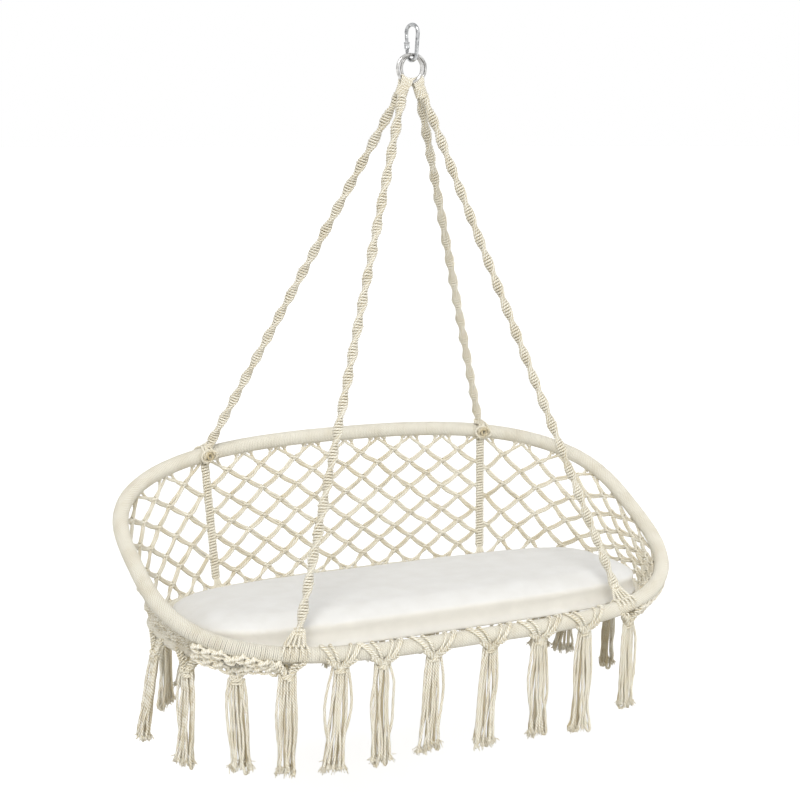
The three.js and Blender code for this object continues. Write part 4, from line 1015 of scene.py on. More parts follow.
def lace_band(bundle, rim_span, seat_span, columns, turn, bulge):
    """Two rows of chunky knots with eyes between them, from under the rim to the seat hoop's outside."""
    def surface(u, v):
        share = np.asarray(u, float) / columns
        v = np.asarray(v, float)[..., None]
        place = rim_span[0] + (rim_span[1] - rim_span[0]) * share
        high = rim.round(place, turn + 0 * share, RIM_OUTSIDE + 0.002)
        place = seat_span[0] + (seat_span[1] - seat_span[0]) * share
        low = seat.round(place, -0.4 + 0 * share, SEAT_OUTSIDE + 0.008) - UP * 0.012
        return low + (high - low) * v + bulge * np.sin(math.pi * v) * seat.ways(place)[1]

    rows = []
    for level, offset in ((0.84, 0.5), (0.26, 0.0)):
        u = np.arange(columns + 1 - int(2 * offset)) + offset
        u = u + chance.normal(0, 0.07, len(u))
        place = seat_span[0] + (seat_span[1] - seat_span[0]) * u / columns
        near = np.abs(place[:, None] - np.array(SEAT_SHARES) * seat.length).min(1)
        dip = (0.20 - 0.50 * np.exp(-(near / 0.024) ** 2)) * (1 - level)
        v = level + chance.normal(0, 0.05, len(u)) + dip
        centre = surface(u, v)
        right = unit(surface(u + 0.1, v) - surface(u - 0.1, v))
        up = surface(u, v + 0.05) - surface(u, v - 0.05)
        up = unit(up - (up * right).sum(-1, keepdims=True) * right)
        out = np.cross(right, up)
        rows.append((centre, right, up, out))
        for part in (-1, 1):
            axis = unit(up + part * chance.uniform(0.5, 1.1, (len(u), 1)) * right + 0.3 * part * out)
            wide = unit(np.cross(np.cross(axis, right), axis))
            # Painted light: the lace's knots get a lighter colour, for they hang in the rim's shade.
            coil(bundle, centre + part * 0.0030 * up + 0.001 * out, axis, wide, 0.0098, 0.0060, 1.3, 0.0042,
                 cord=0.0066, per_turn=12, phase=0.6 + 1.4 * part, tone_and_shade=-0.1)
    share = np.linspace(0, 1, 11)[None, :, None]
    (upper, right, up, out), (lower, *_) = rows
    for shift in (0, 1):
        a, b = upper, lower[shift:shift + len(upper)]
        for way in (-1, 1):
            line = a[:, None] * (1 - share) + b[:, None] * share
            line = line + way * 0.0034 * right[:, None] + out[:, None] * 0.0030 * np.sin(math.pi * share)
            bundle.lay(line, 0.0030, 6, lobes=0.18, tone_and_shade=0.05)
    for centre, right, up, out in rows:
        for a, b, across_up, proud in zip(centre[:-1], centre[1:], up[:-1], out[:-1]):
            for way in (-1, 1):
                middle = (a + b) / 2 + way * across_up * chance.uniform(0.0050, 0.0085) + proud * 0.002
                loop_between(bundle, a, b, middle, 0.28, way * across_up * 0.003)
    low = rows[1][0]
    for a, b in zip(low[:-1], low[1:]):
        drop = chance.uniform(0.009, 0.016)
        middle = (a + b) / 2 - UP * drop
        loop_between(bundle, a, b, middle, 0.25, -UP * drop * 0.55)
    high, right, up, out = rows[0]
    steps = np.linspace(0, 1, 12)
    for k in range(len(high)):
        place = rim_span[0] + (rim_span[1] - rim_span[0]) * (k + 0.5) / columns
        for way in (-1, 1):
            ring = rim.round(place + way * 0.004 + 0 * steps, -1.1 - 1.5 * steps, RIM_OUTSIDE + CORD / 2)
            bundle.lay(smooth_line([high[k] + way * 0.003 * right[k], *ring], 26), CORD / 2, 6, lobes=0.14)


lace_rim = (RIM_CORNER + NET_INSET, RIM_FRONT - 0.028)
lace_seat = (SEAT_CORNER + NET_INSET, SEAT_LACE - NET_INSET)
for side in (1, -1):
    rim_span = lace_rim if side > 0 else tuple(rim.length - v for v in lace_rim[::-1])
    seat_span = lace_seat if side > 0 else tuple(seat.length - v for v in lace_seat[::-1])
    bundle = Cords()
    # Painted shade: the row of diamonds behind the lace gets a browner colour.
    net(bundle, wall(*rim_span, *seat_span, 5, 1), 5, 1, split=0.006, sag=0.0, steps=21, tone_and_shade=0.4)
    lace_band(bundle, rim_span, seat_span, 8, -0.85 if side < 0 else -1.3, 0.008 if side < 0 else 0.002)
    bundle.piece(f"lace_knots_{SIDE_NAME[side]}", lace_lit_look, "chair", f"lace_{SIDE_NAME[side]}")

# %% [markdown]
# ## Seat net
#
# Under the cushion a net is stretched flat across the seat hoop. The cushion lies on it, so it is tied of
# thinner cord with flat knots.

# %% Tie the seat net
SEAT_COLUMNS, SEAT_ROWS = 9, 4


def seat_surface(u, v):
    x = 0.94 * 0.555 * (2 * np.clip(u / (2 * SEAT_COLUMNS), 0, 1) - 1)
    front = np.interp(np.abs(x), seat_x, seat_front)
    back = np.interp(np.abs(x), seat_x, seat_back)
    ends = []
    for length in (front, back):
        length = np.where(x < 0, seat.length - length, length)
        ends.append(seat.at(length) - seat.ways(length)[1] * (SEAT_OUTSIDE - 0.001))
    share = (v / (2 * SEAT_ROWS))[..., None]
    return ends[0] * (1 - share) + ends[1] * share + np.array([0, 0, -0.0006])


seat_x = np.linspace(0, 0.53, 60)
seat_front = np.array([seat.find(x, True) for x in seat_x])
seat_back = np.array([seat.find(x, False) for x in seat_x])
bundle = Cords()
net(bundle, seat_surface, SEAT_COLUMNS, SEAT_ROWS, cord=0.0046, knot=(0.0058, 0.0040), flatness=0.12, sag=0.0,
    split=0.010)
bundle.piece("seat_mesh", cord_look, "chair", "seat_net")

# %% [markdown]
# ## Tassels
#
# Twenty-one tassels hang all round: eight under the rim along the front, and thirteen under the seat hoop
# round the ends and the back. A tassel starts in a knotted V of half hitches, 4 to 7 cm wide, with two small
# loops in it. Eleven strands come out under it. Nine run close together and one on each side leaves the V
# higher up and bows out. Along the front, cords also run from each V over the rim's face to its top, to the
# left and the right. The strands are three-ply cord, so their twist is in the shape. Each has its own seeded
# sway, some are folded into loops at the end and the others are cut and fray into thin plies.

# %% Parts of a tassel
STRAND = 0.0027


def hitches(bundle, start, end, facing, radius, pitch, cord):
    """Half hitches side by side along a straight cord."""
    axis = unit(end - start)
    long = float(np.linalg.norm(end - start))
    wide = unit(np.cross(axis, facing))
    deep = np.cross(axis, wide)
    turns = long / pitch
    angle = np.linspace(0, 2 * math.pi * turns, int(turns * 11) + 2)[:, None] + chance.uniform(0, 6)
    around = np.cos(angle) * wide + np.sin(angle) * deep
    rise = np.linspace(0, long, len(angle))[:, None]
    bundle.lay(start + rise * axis + radius * around, cord / 2, 6, lead=around)


def tassel_head(bundle, hoop, length, point, half, face, wide_cord=0.0046):
    """The knotted V: two arms of half hitches from a hoop's outer face down to the point of the strands."""
    along, outward, _ = hoop.ways(length)
    outside = hoop_outside[id(hoop)] - CORD
    for side in (-1, 1):
        for reach, turn, low in ((1.0, face, 0.0), (0.52, face - 0.25, 0.006)):
            start = hoop.round(length + side * half * reach, turn, outside + 0.0030)
            bend = hoop.round(length + side * half * reach * 0.55, -1.05, outside + 0.0040)
            end = point + side * 0.0035 * along + UP * (0.002 + low) + outward * 0.003
            bend = 0.35 * bend + 0.65 * (start + end) / 2 + outward * 0.003
            hitches(bundle, start, bend, outward, 0.0027, 0.0058, wide_cord)
            hitches(bundle, bend, end, outward, 0.0028, 0.0058, wide_cord)
            behind = start * 0.4 + bend * 0.6 - outward * 0.008
            hitches(bundle, behind, end - outward * 0.006, outward, 0.0024, 0.0062, wide_cord)
        circle = np.linspace(0, 2 * math.pi, 21)[:, None]
        ring = point + side * 0.0075 * along + UP * 0.009 + outward * 0.007
        bundle.lay(ring + 0.0042 * (np.cos(circle) * along + np.sin(circle) * UP), 0.0022, 6)
    for tilt, low, shade in ((0.85, 0.004, 0.0), (-0.95, 0.000, 0.12), (0.3, -0.005, 0.05)):
        coil(bundle, point + UP * low, UP + tilt * along, along, 0.0104, 0.0068, 1.3, 0.005, cord=0.0048,
             per_turn=16, phase=chance.uniform(0, 6), tone_and_shade=shade)


def fray(bundle, ends, ways, plies=14):
    """The thin plies into which cut strands open."""
    count = len(ends)
    aside = chance.normal(0, 0.36, (count, plies, 3))
    way = unit(ways[:, None] + aside)
    long = chance.uniform(0.006, 0.013, (count, plies, 1))
    start = ends[:, None] - ways[:, None] * 0.006 + aside * 0.0070
    share = np.linspace(0, 1, 5)[None, None, :, None]
    curl = chance.normal(0, 0.0016, (count, plies, 1, 3))
    line = start[:, :, None] + (way * long)[:, :, None] * share + curl * share ** 2
    thick = 0.0013 * (1 - 0.4 * share[0, 0, :, 0])
    bundle.lay(line.reshape(count * plies, 5, 3), thick, 4, tone_and_shade=chance.uniform(-0.1, 0.3, count * plies))


print("tassel parts are ready")

# %% [markdown]
# The tassels aren't evenly spaced, so their places are given one by one: those of the seat hoop above, and
# here the distances from the middle along the rim's front. Some hang longer or shorter than the rest, and a
# few lean. Every random number comes from the one seeded source, so each run ties the same tassels.

# %% Hang the tassels
RIM_X = (-0.402, 0.402, -0.2989, -0.2105, -0.0964, 0.0348, 0.1543, 0.2721)
LONGER = {7: 0.007, 8: 0.013, 9: -0.006, 11: -0.028, 14: 0.004, 15: -0.014, 18: -0.010, 20: 0.002, 21: 0.010}
LEANING = {9: -0.024, 11: -0.012, 16: -0.016, 18: -0.009, 19: -0.012, 15: 0.002, 14: -0.004}
LEANING_BACK = {9: 0.013, 11: 0.006}
LACED = (7, 8, 9)
# Each kind of head: half its width, the turn at which it starts on the hoop, the drop of its point below the
# hoop, and how far that point stands forward
HEADS = {
    "rim": (0.030, -0.35, 0.012, 0.004),
    "seat": (0.022, -0.2, 0.014, 0.002),
    "lace": (0.032, 0.3, 0.028, 0.018),
    "corner": (0.034, -0.5, 0.026, 0.004),
}
TASSEL_FOOT = -1.449
STRANDS, STRAND_STEPS = 11, 108


def on_rim(x):
    """The rim's length at x along its front."""
    return rim.find(x, True) if x >= 0 else rim.length - rim.find(-x, True)


def tassel(number, hoop, length, reach=None):
    bundle = Cords()
    along, outward, _ = hoop.ways(length)
    along = unit(along * np.array([1, 1, 0]))
    outside = RIM_OUTSIDE if hoop is rim else SEAT_OUTSIDE
    kind = ("rim" if reach else "corner") if hoop is rim else "lace" if number in LACED else "seat"
    half, face, drop, forward = HEADS[kind]
    knot = hoop.at(length) - UP * (outside + drop) + outward * forward
    tassel_head(bundle, hoop, length, knot, half, face)
    foot = TASSEL_FOOT - LONGER.get(number, 0.0)
    swing = np.array([LEANING.get(number, chance.normal(0, 0.004)), LEANING_BACK.get(
        number, chance.normal(0, 0.004)), 0.0])
    place = [(k - 2 if k < 5 else k - 6.5) * 0.0060 for k in range(9)]
    layer = [0.0030 if k < 5 else -0.0028 for k in range(9)]
    flare = chance.uniform(0.9, 1.35)
    lines = []
    for k in range(STRANDS):
        outer = k >= 9
        side = -1 if k % 2 else 1
        if outer:
            a, o, begin = side * 0.0150, 0.002, knot + UP * 0.006
            bow = side * abs(chance.normal(0.0070, 0.003))
            end_a = side * chance.uniform(0.012, 0.020)
            end_o = chance.normal(0, 0.004)
        else:
            a = place[k] * 0.88 + chance.normal(0, 0.0007)
            o = layer[k] + chance.normal(0, 0.0008)
            begin = knot
            bow = place[k] * 0.25 + chance.normal(0, 0.0019)
            end_a = place[k] * flare * 1.45 + chance.normal(0, 0.0028)
            end_o = layer[k] * 2.0 * flare + chance.normal(0, 0.002)
        end_z = foot + chance.uniform(0.0, 0.014) + 0.006
        knots = []
        for share in (0, 0.06, 0.2, 0.4, 0.6, 0.78, 0.9, 1):
            blend = share ** 2.2
            here_a = a * (1 - blend) + end_a * blend + bow * math.sin(math.pi * min(1, share * 1.25))
            if outer:
                hang = (side * 0.0125) * share ** 0.8 * (1 - blend)
                here_a = a * (1 - share ** 0.8) + hang + end_a * blend + bow * math.sin(
                    math.pi * min(1, share * 1.3))
            here_o = o * (1 - blend) + end_o * blend
            spot = begin * (1 - share) + (np.array([knot[0], knot[1], end_z])) * share
            spot = spot + here_a * along + here_o * outward + swing * share ** (0.9 if number == 9 else 1.4)
            spot = spot + chance.normal(0, 0.0011, 3) * np.array([1, 1, 0]) * (share > 0.1)
            knots.append(spot)
        lines.append(smooth_line(knots, STRAND_STEPS))
    lines = np.stack(lines)
    thick = STRAND * np.interp(np.linspace(0, 1, STRAND_STEPS), (0, 0.9, 1), (1, 1, 1.25))
    # Painted shade: the strands of the back row get a browner colour than those in front.
    deep = np.array([chance.uniform(*((0.3, 0.6) if 4 < k < 9 else (-0.12, 0.1))) for k in range(STRANDS)])
    tip = np.interp(np.linspace(0, 1, STRAND_STEPS), (0, 0.93, 1), (0, 0, 0.05))
    bundle.lay(lines, thick, 6, lobes=0.26, tone_and_shade=deep[:, None] + tip)
    ends = lines[:, -1]
    ways = unit(lines[:, -1] - lines[:, -6])
    order = np.argsort(ends @ along)
    looped = [(order[1], order[3]), (order[7], order[9])] if number % 2 else [(order[0], order[2])]
    closed = set()
    for first, second in looped:
        a, b = ends[first], ends[second]
        low = (a + b) / 2 - UP * (0.007 + 0.3 * abs(a[2] - b[2]))
        line = smooth_line([lines[first, -4], a, a * 0.8 + low * 0.2 - UP * 0.004, low,
                            b * 0.8 + low * 0.2 - UP * 0.004, b, lines[second, -4]], 31)
        bundle.lay(line, STRAND * 1.1, 6, lobes=0.2, tone_and_shade=0.1)
        closed |= {first, second}
    cut = [k for k in range(STRANDS) if k not in closed]
    bundle.lay(np.stack([ends[cut] - ways[cut] * 0.004, ends[cut], ends[cut] + ways[cut] * 0.002], 1),
               np.array([STRAND * 1.1, STRAND * 1.7, STRAND * 1.3]), 6, tone_and_shade=0.03)
    fray(bundle, ends[cut], ways[cut])
    if reach is not None:
        face_cords(bundle, length, knot, outward, reach)
    name = f"tassel_{number:02d}"
    return bundle.piece(name.replace("tassel", "fringe"), strand_look, "chair", name)


def face_cords(bundle, length, knot, outward, reach):
    """Cords from a tassel's V, straight and slanting over the rim's face, sinking in behind its top."""
    share = np.linspace(0, 1, 14)
    turn = -0.95 + share * 3.0
    raised = RIM_OUTSIDE + CORD / 2 - 0.007 * np.clip(share * 6 - 5, 0, 1)
    for side in (-1, 1):
        for goal, low in ((reach[side], 0.0125), (reach[side] - CORD, 0.0070), (reach[side] * 0.5, 0.0030)):
            goal = goal + chance.normal(0, 0.0012)
            away = side * (low + (goal - low) * np.clip(share * 1.35, 0, 1))
            ring = rim.round(length + away, turn, raised + chance.uniform(0, 0.0008))
            first = knot + (ring[0] - knot) * 0.25 + outward * 0.004
            bundle.lay(smooth_line([first, *ring], 48), CORD / 2, 6, lobes=0.16)


for k, share in enumerate(SEAT_SHARES):
    tassel(k + 1, seat, share * seat.length)
for k, x in enumerate(RIM_X):
    spans = {side: min([0.050] + [0.47 * abs(x - other) for other in (*RIM_X, -0.388, 0.388)
                                  if side * (other - x) > 0.03]) for side in (-1, 1)}
    tassel(k + 14, rim, on_rim(x), spans if k > 1 else None)

# %% [markdown]
# ## The cushion
#
# The cushion is a boxed cover over a wadded insert: a top and an underside joined by a band, with the sides
# drawn in a little between their edges and the top crowned. Its blank is lofted from rounded oblongs, a bit
# smaller than the finished cushion. The voxel remesh turns it into even cloth, and the cloth simulation
# blows it up from inside with no gravity, as the wadding does. A cap on each point's travel keeps it in its
# place between the ropes.

# %% Blow up the cushion
CUSHION_MIDDLE_X, CUSHION_MIDDLE_Y, CUSHION_FOOT = -0.008, -0.0551, -1.2167
FRONT_HIGH, BACK_HIGH = 0.062, 0.045
HALF_LONG, HALF_DEEP = 0.531, 0.197


def underside(x):
    """The height of the underside: the middle sags between the hoop's sides, the ends lie on the hoop."""
    share = np.clip((0.46 - np.abs(x)) / 0.12, 0, 1)
    return CUSHION_FOOT + 0.0085 - 0.0075 * share * share * (3 - 2 * share)


def loft(name, shrink):
    """The cushion's blank: rounded oblongs from its foot to its crown."""
    def top(y):
        share = (y - CUSHION_MIDDLE_Y + HALF_DEEP) / (2 * HALF_DEEP)
        return CUSHION_FOOT + FRONT_HIGH + (BACK_HIGH - FRONT_HIGH) * share
    levels = [
        (0.060, lambda x, y: CUSHION_FOOT + shrink),
        (0.004 + shrink, lambda x, y: underside(x) + shrink),
        (shrink, lambda x, y: underside(x) + 0.004 + shrink),
        (0.004 + shrink, lambda x, y: (underside(x) + top(y)) / 2),
        (shrink, lambda x, y: top(y) - 0.006 - shrink),
        (0.0035 + shrink, lambda x, y: top(y) - 0.001 - shrink),
        (0.020, lambda x, y: top(y) + 0.0065 - shrink),
        (0.055, lambda x, y: top(y) + 0.0145 - shrink),
        (0.115, lambda x, y: top(y) + 0.0195 - shrink),
    ]
    steps = 96
    angle = np.linspace(0, 2 * math.pi, steps, endpoint=False)
    corners, faces = [], []
    for inset, height in levels:
        wide, deep = rounded(angle, 4)
        xs = CUSHION_MIDDLE_X + (HALF_LONG - inset) * wide
        ys = CUSHION_MIDDLE_Y + (HALF_DEEP - inset) * deep
        corners += [(x, y, height(x, y)) for x, y in zip(xs, ys)]
    for a in range(len(levels) - 1):
        for b in range(steps):
            c = (b + 1) % steps
            faces.append((a * steps + b, a * steps + c, (a + 1) * steps + c, (a + 1) * steps + b))
    faces.append(tuple(range(steps))[::-1])
    faces.append(tuple(range((len(levels) - 1) * steps, len(levels) * steps)))
    mesh = bpy.data.meshes.new(name)
    mesh.from_pydata(corners, [], faces)
    thing = bpy.data.objects.new(name, mesh)
    bpy.context.scene.collection.objects.link(thing)
    return thing


def only(thing):
    bpy.ops.object.select_all(action="DESELECT")
    thing.select_set(True)
    bpy.context.view_layer.objects.active = thing


def apply_all(thing):
    only(thing)
    for modifier in list(thing.modifiers):
        bpy.ops.object.modifier_apply(modifier=modifier.name)


def points_of(thing):
    points = np.zeros(len(thing.data.vertices) * 3)
    thing.data.vertices.foreach_get("co", points)
    return points.reshape(-1, 3)


def print_reach(thing):
    points = points_of(thing)
    print(thing.name, "from", points.min(0).round(4), "to", points.max(0).round(4))


cushion = loft("seat_cushion", 0.003)
remesh = cushion.modifiers.new("even cloth", "REMESH")
remesh.mode = "VOXEL"
remesh.voxel_size = 0.0066
apply_all(cushion)
blank_points = points_of(cushion)
cloth = cushion.modifiers.new("pressure", "CLOTH")
cloth.settings.quality = 5
cloth.settings.mass = 0.3
cloth.settings.tension_stiffness = 15
cloth.settings.compression_stiffness = 15
cloth.settings.bending_stiffness = 0.5
cloth.settings.use_pressure = True
cloth.settings.uniform_pressure_force = 4
cloth.settings.effector_weights.gravity = 0
cloth.collision_settings.use_collision = False
for step in range(1, 21):
    bpy.context.scene.frame_set(step)
grown = np.zeros(len(blank_points) * 3)
shape = cushion.evaluated_get(bpy.context.evaluated_depsgraph_get()).to_mesh()
shape.vertices.foreach_get("co", grown)
moved = grown.reshape(-1, 3) - blank_points
bpy.context.scene.frame_set(1)
cushion.modifiers.clear()
travel = np.linalg.norm(moved, axis=1, keepdims=True)
moved *= np.minimum(1, 0.006 / np.maximum(travel, 1e-9))
cushion.data.vertices.foreach_set("co", (blank_points + moved).ravel())
print("the cloth moved up to", round(float(travel.max()) * 1000, 1), "mm before the cap")

# %% [markdown]
# Below its foot plane the cushion rests on the net, so it is pressed flat there. Creases pull across the
# front band where the cover is stretched round the corners. They are only a millimetre deep, so they are
# moved in code: a few long, faint waves that run along the band and fade out towards its edges. The lower
# seam stands a little proud of the band all along the front, as the wadding's weight presses it out. The
# weave follows a UV map laid in metres from three sides, one for each face's main direction.

# %% Finish the cushion
# Each crease: its middle, its level on the band, its half length, its tilt and its depth
CREASES = (
    (-0.30, 0.55, 0.16, 0.05, 0.0016), (-0.05, 0.42, 0.20, -0.03, 0.0012), (0.22, 0.60, 0.15, 0.04, 0.0015),
    (0.40, 0.38, 0.10, -0.08, 0.0016), (-0.44, 0.35, 0.08, 0.10, 0.0016), (0.08, 0.70, 0.12, 0.02, 0.0010),
)
points = points_of(cushion)
points[:, 2] = np.maximum(points[:, 2], CUSHION_FOOT)
from_edge = np.clip((HALF_DEEP + points[:, 1] - CUSHION_MIDDLE_Y) / -0.03 + 1, 0, 1)
height = (points[:, 2] - CUSHION_FOOT) / FRONT_HIGH
band = np.clip(np.sin(math.pi * np.clip(height, 0, 1)), 0, 1)
for centre, level, long, tilt, depth in CREASES:
    away = np.exp(-((points[:, 0] - centre) / long) ** 2)
    line = np.exp(-((height - level - tilt * (points[:, 0] - centre) / long) / 0.055) ** 2)
    points[:, 1] += depth * away * line * band * from_edge
seam = np.exp(-((points[:, 2] - underside(points[:, 0]) - 0.003) / 0.007) ** 2)
across, ahead = (points[:, 0] - CUSHION_MIDDLE_X) / HALF_LONG, (CUSHION_MIDDLE_Y - points[:, 1]) / HALF_DEEP
plan = np.abs(across) ** 4 + np.abs(ahead) ** 4
near_outline = np.clip((plan - 0.6) / 0.3, 0, 1) * np.clip(2 * ahead, 0, 1)
points[:, 1] -= 0.0115 * seam * near_outline
cushion.data.vertices.foreach_set("co", points.ravel())
cushion.data.update()
only(cushion)
smoothing = cushion.modifiers.new("soft", "SUBSURF")
smoothing.levels = smoothing.render_levels = 1
apply_all(cushion)


def weave_map(thing):
    """A UV map in metres, each face seen along its main direction."""
    mesh = thing.data
    corner = np.zeros(len(mesh.loops), int)
    mesh.loops.foreach_get("vertex_index", corner)
    normals = np.zeros(len(mesh.polygons) * 3)
    mesh.polygons.foreach_get("normal", normals)
    totals = np.zeros(len(mesh.polygons), int)
    mesh.polygons.foreach_get("loop_total", totals)
    main = np.repeat(np.abs(normals.reshape(-1, 3)).argmax(1), totals)
    place = points_of(thing)[corner]
    uv = np.where((main == 2)[:, None], place[:, [0, 1]], np.where((main == 1)[:, None], place[:, [0, 2]],
                                                                  place[:, [1, 2]]))
    layer = mesh.uv_layers.new(name="UVMap")
    layer.data.foreach_set("uv", uv.astype(np.float32).ravel())
    mesh.polygons.foreach_set("use_smooth", np.ones(len(mesh.polygons), bool))
    # How upright each point is, which the canvas uses to paint light on the cushion's sides.
    slopes = np.zeros(len(mesh.vertices) * 3)
    mesh.vertices.foreach_get("normal", slopes)
    side_light_share = np.clip(1.25 - 1.6 * np.abs(slopes.reshape(-1, 3)[:, 2]), 0, 1)
    side_light_layer = mesh.attributes.new("upright", "FLOAT", "POINT")
    side_light_layer.data.foreach_set("value", side_light_share.astype(np.float32))


insert = cushion.copy()
insert.data = cushion.data.copy()
insert.name = "wadded_insert"
bpy.context.scene.collection.objects.link(insert)
normals = np.zeros(len(insert.data.vertices) * 3)
insert.data.vertices.foreach_get("normal", normals)
insert.data.vertices.foreach_set("co", (points_of(insert) - 0.0025 * normals.reshape(-1, 3)).ravel())
thinner = insert.modifiers.new("fewer faces", "DECIMATE")
thinner.ratio = 0.12
apply_all(insert)
weave_map(cushion)
weave_map(insert)
finish_piece(cushion, canvas_look, "cushion", "canvas", "cushion_cover")
finish_piece(insert, wadding_look, "cushion", "wadding", "cushion_insert")
print_reach(cushion)

# %% [markdown]
# ## The snap hook
#
# The real hook is one length of 8 mm wire, bent round two bows, with a flat tongue left at one end for the
# gate. It is made the same way here: a circle is the wire's section, and it is spun round the lower bow,
# drawn up the back leg, spun round the top bow and drawn a little down to the nose. The whole hook is turned
# 18 degrees, as it hangs in the picture, so it is modelled flat first and turned at the end.

# %% Bend the snap hook
YAW = math.radians(18)
HOOK_WIRE, TOP_BOW, FOOT_BOW = 0.004, 0.016, 0.013
TOP_CENTRE, FOOT_CENTRE = -0.012, -0.053
GATE_WIRE, NOSE, PIVOT_RISE = 0.0035, 0.004, 0.006
TONGUE, TONGUE_THICK, PIN, PLAY = 0.0027, 0.003, 0.0014, 0.0003
leg = Vector((0, TOP_BOW - FOOT_BOW, TOP_CENTRE - FOOT_CENTRE))
GATE_TOP = leg.length - PIVOT_RISE - NOSE
leg_way = leg.normalized()
on_leg = Matrix.Translation(Vector((0, FOOT_BOW, FOOT_CENTRE)) + PIVOT_RISE * leg_way) @ Matrix.Rotation(
    -math.atan2(leg.y, leg.z), 4, "X")


def primitive(kind, name, scale=(1, 1, 1), **settings):
    """Adds one of the plain starting shapes, with its place and turn written into its mesh."""
    bpy.ops.object.select_all(action="DESELECT")
    getattr(bpy.ops.mesh, f"primitive_{kind}_add")(**settings)
    thing = bpy.context.object
    thing.scale = scale
    thing.name = name
    bpy.ops.object.transform_apply(location=True, rotation=True, scale=True)
    return thing


def combine(thing, tool, operation):
    """Joins a shape to a piece, or cuts it out, and takes the shape away."""
    step = thing.modifiers.new(operation, "BOOLEAN")
    step.operation, step.object, step.solver = operation, tool, "EXACT"
    apply_all(thing)
    bpy.data.objects.remove(tool)


def round_edges(thing, width, segments=2, angle=35):
    """Takes the sharpness off a piece's edges, as tumbling does before plating."""
    bevel = thing.modifiers.new("edges", "BEVEL")
    bevel.width, bevel.segments, bevel.limit_method = width, segments, "ANGLE"
    bevel.angle_limit = math.radians(angle)
    apply_all(thing)
    only(thing)
    bpy.ops.object.shade_smooth_by_angle(angle=math.radians(40))


def drill_for_pin(thing):
    """Drills the hole of the gate's pin across a piece."""
    drill = primitive("cylinder", "pin_hole", vertices=24, radius=PIN + PLAY, depth=0.02,
                      rotation=(0, math.pi / 2, 0))
    combine(thing, drill, "DIFFERENCE")


hook = primitive("circle", "bent_hook", vertices=24, radius=HOOK_WIRE, location=(0, FOOT_BOW, FOOT_CENTRE))
bpy.ops.object.mode_set(mode="EDIT")
bpy.ops.mesh.select_all(action="SELECT")
bpy.ops.mesh.spin(steps=28, angle=math.pi, center=(0, 0, FOOT_CENTRE), axis=(1, 0, 0))
bpy.ops.mesh.extrude_region_move(TRANSFORM_OT_translate={"value": (0, -leg.y, leg.z)})
bpy.ops.mesh.spin(steps=32, angle=math.pi, center=(0, 0, TOP_CENTRE), axis=(1, 0, 0))
bpy.ops.mesh.extrude_region_move(TRANSFORM_OT_translate={"value": tuple(-0.35 * NOSE * leg_way)})
bpy.ops.transform.resize(value=(GATE_WIRE / HOOK_WIRE,) * 3)
bpy.ops.mesh.extrude_region_move(TRANSFORM_OT_translate={"value": tuple((PLAY - 0.65 * NOSE) * leg_way)})
bpy.ops.mesh.select_all(action="SELECT")
bpy.ops.mesh.remove_doubles(threshold=0.00001)
bpy.ops.mesh.fill_holes(sides=0)
bpy.ops.mesh.select_all(action="SELECT")
bpy.ops.mesh.normals_make_consistent(inside=False)
bpy.ops.object.mode_set(mode="OBJECT")
tongue = primitive("cylinder", "tongue", vertices=32, radius=TONGUE, depth=TONGUE_THICK,
                   rotation=(0, math.pi / 2, 0))
shank = primitive("cube", "shank", size=1, location=(0, 0, -PIVOT_RISE / 2),
                  scale=(TONGUE_THICK, 2 * TONGUE, PIVOT_RISE))
combine(tongue, shank, "UNION")
drill_for_pin(tongue)
tongue.data.transform(on_leg)
combine(hook, tongue, "UNION")
round_edges(hook, 0.0004)
hook.data.transform(Matrix.Rotation(YAW, 4, "Z"))
finish_piece(hook, zinc_look, "hook", "plated_steel", "hook_body")
print_reach(hook)

# %% [markdown]
# The gate is a rod with a fork at its foot that straddles the tongue, and a bore above it for the plunger
# and its spring. It is modelled upright at its pivot and then leaned with the leg. Its fork is slit by a
# block and drilled by two rods, as it would be on a mill.

# %% Make the gate
SLOT_TOP, EAR_REACH, BORE, BORE_DEEP = 0.0045, 0.0032, 0.0021, 0.0136
gate = primitive("cylinder", "sprung_gate", vertices=32, radius=GATE_WIRE, depth=GATE_TOP - PLAY + EAR_REACH,
                 location=(0, 0, (GATE_TOP - PLAY - EAR_REACH) / 2))
slot = primitive("cube", "slot", size=1, location=(0, 0, SLOT_TOP - 0.005),
                 scale=(TONGUE_THICK + 2 * PLAY, 0.02, 0.010))
combine(gate, slot, "DIFFERENCE")
drill_for_pin(gate)
bore = primitive("cylinder", "bore", vertices=24, radius=BORE, depth=SLOT_TOP + BORE_DEEP,
                 location=(0, 0, (SLOT_TOP + BORE_DEEP) / 2))
combine(gate, bore, "DIFFERENCE")
round_edges(gate, 0.00025)
gate.data.transform(Matrix.Rotation(YAW, 4, "Z") @ on_leg)
finish_piece(gate, zinc_look, "gate", "plated_steel", "hook_gate")

# %% [markdown]
# The sleeve is a nut with a waist between two collars. Its outline is drawn up from the lower collar by
# extruding and scaling one ring of edges, over the top and down the bore, and the last ring is bridged to
# the first. Every second face of the waist is inset and sunk, which gives the flutes that fingers grip.

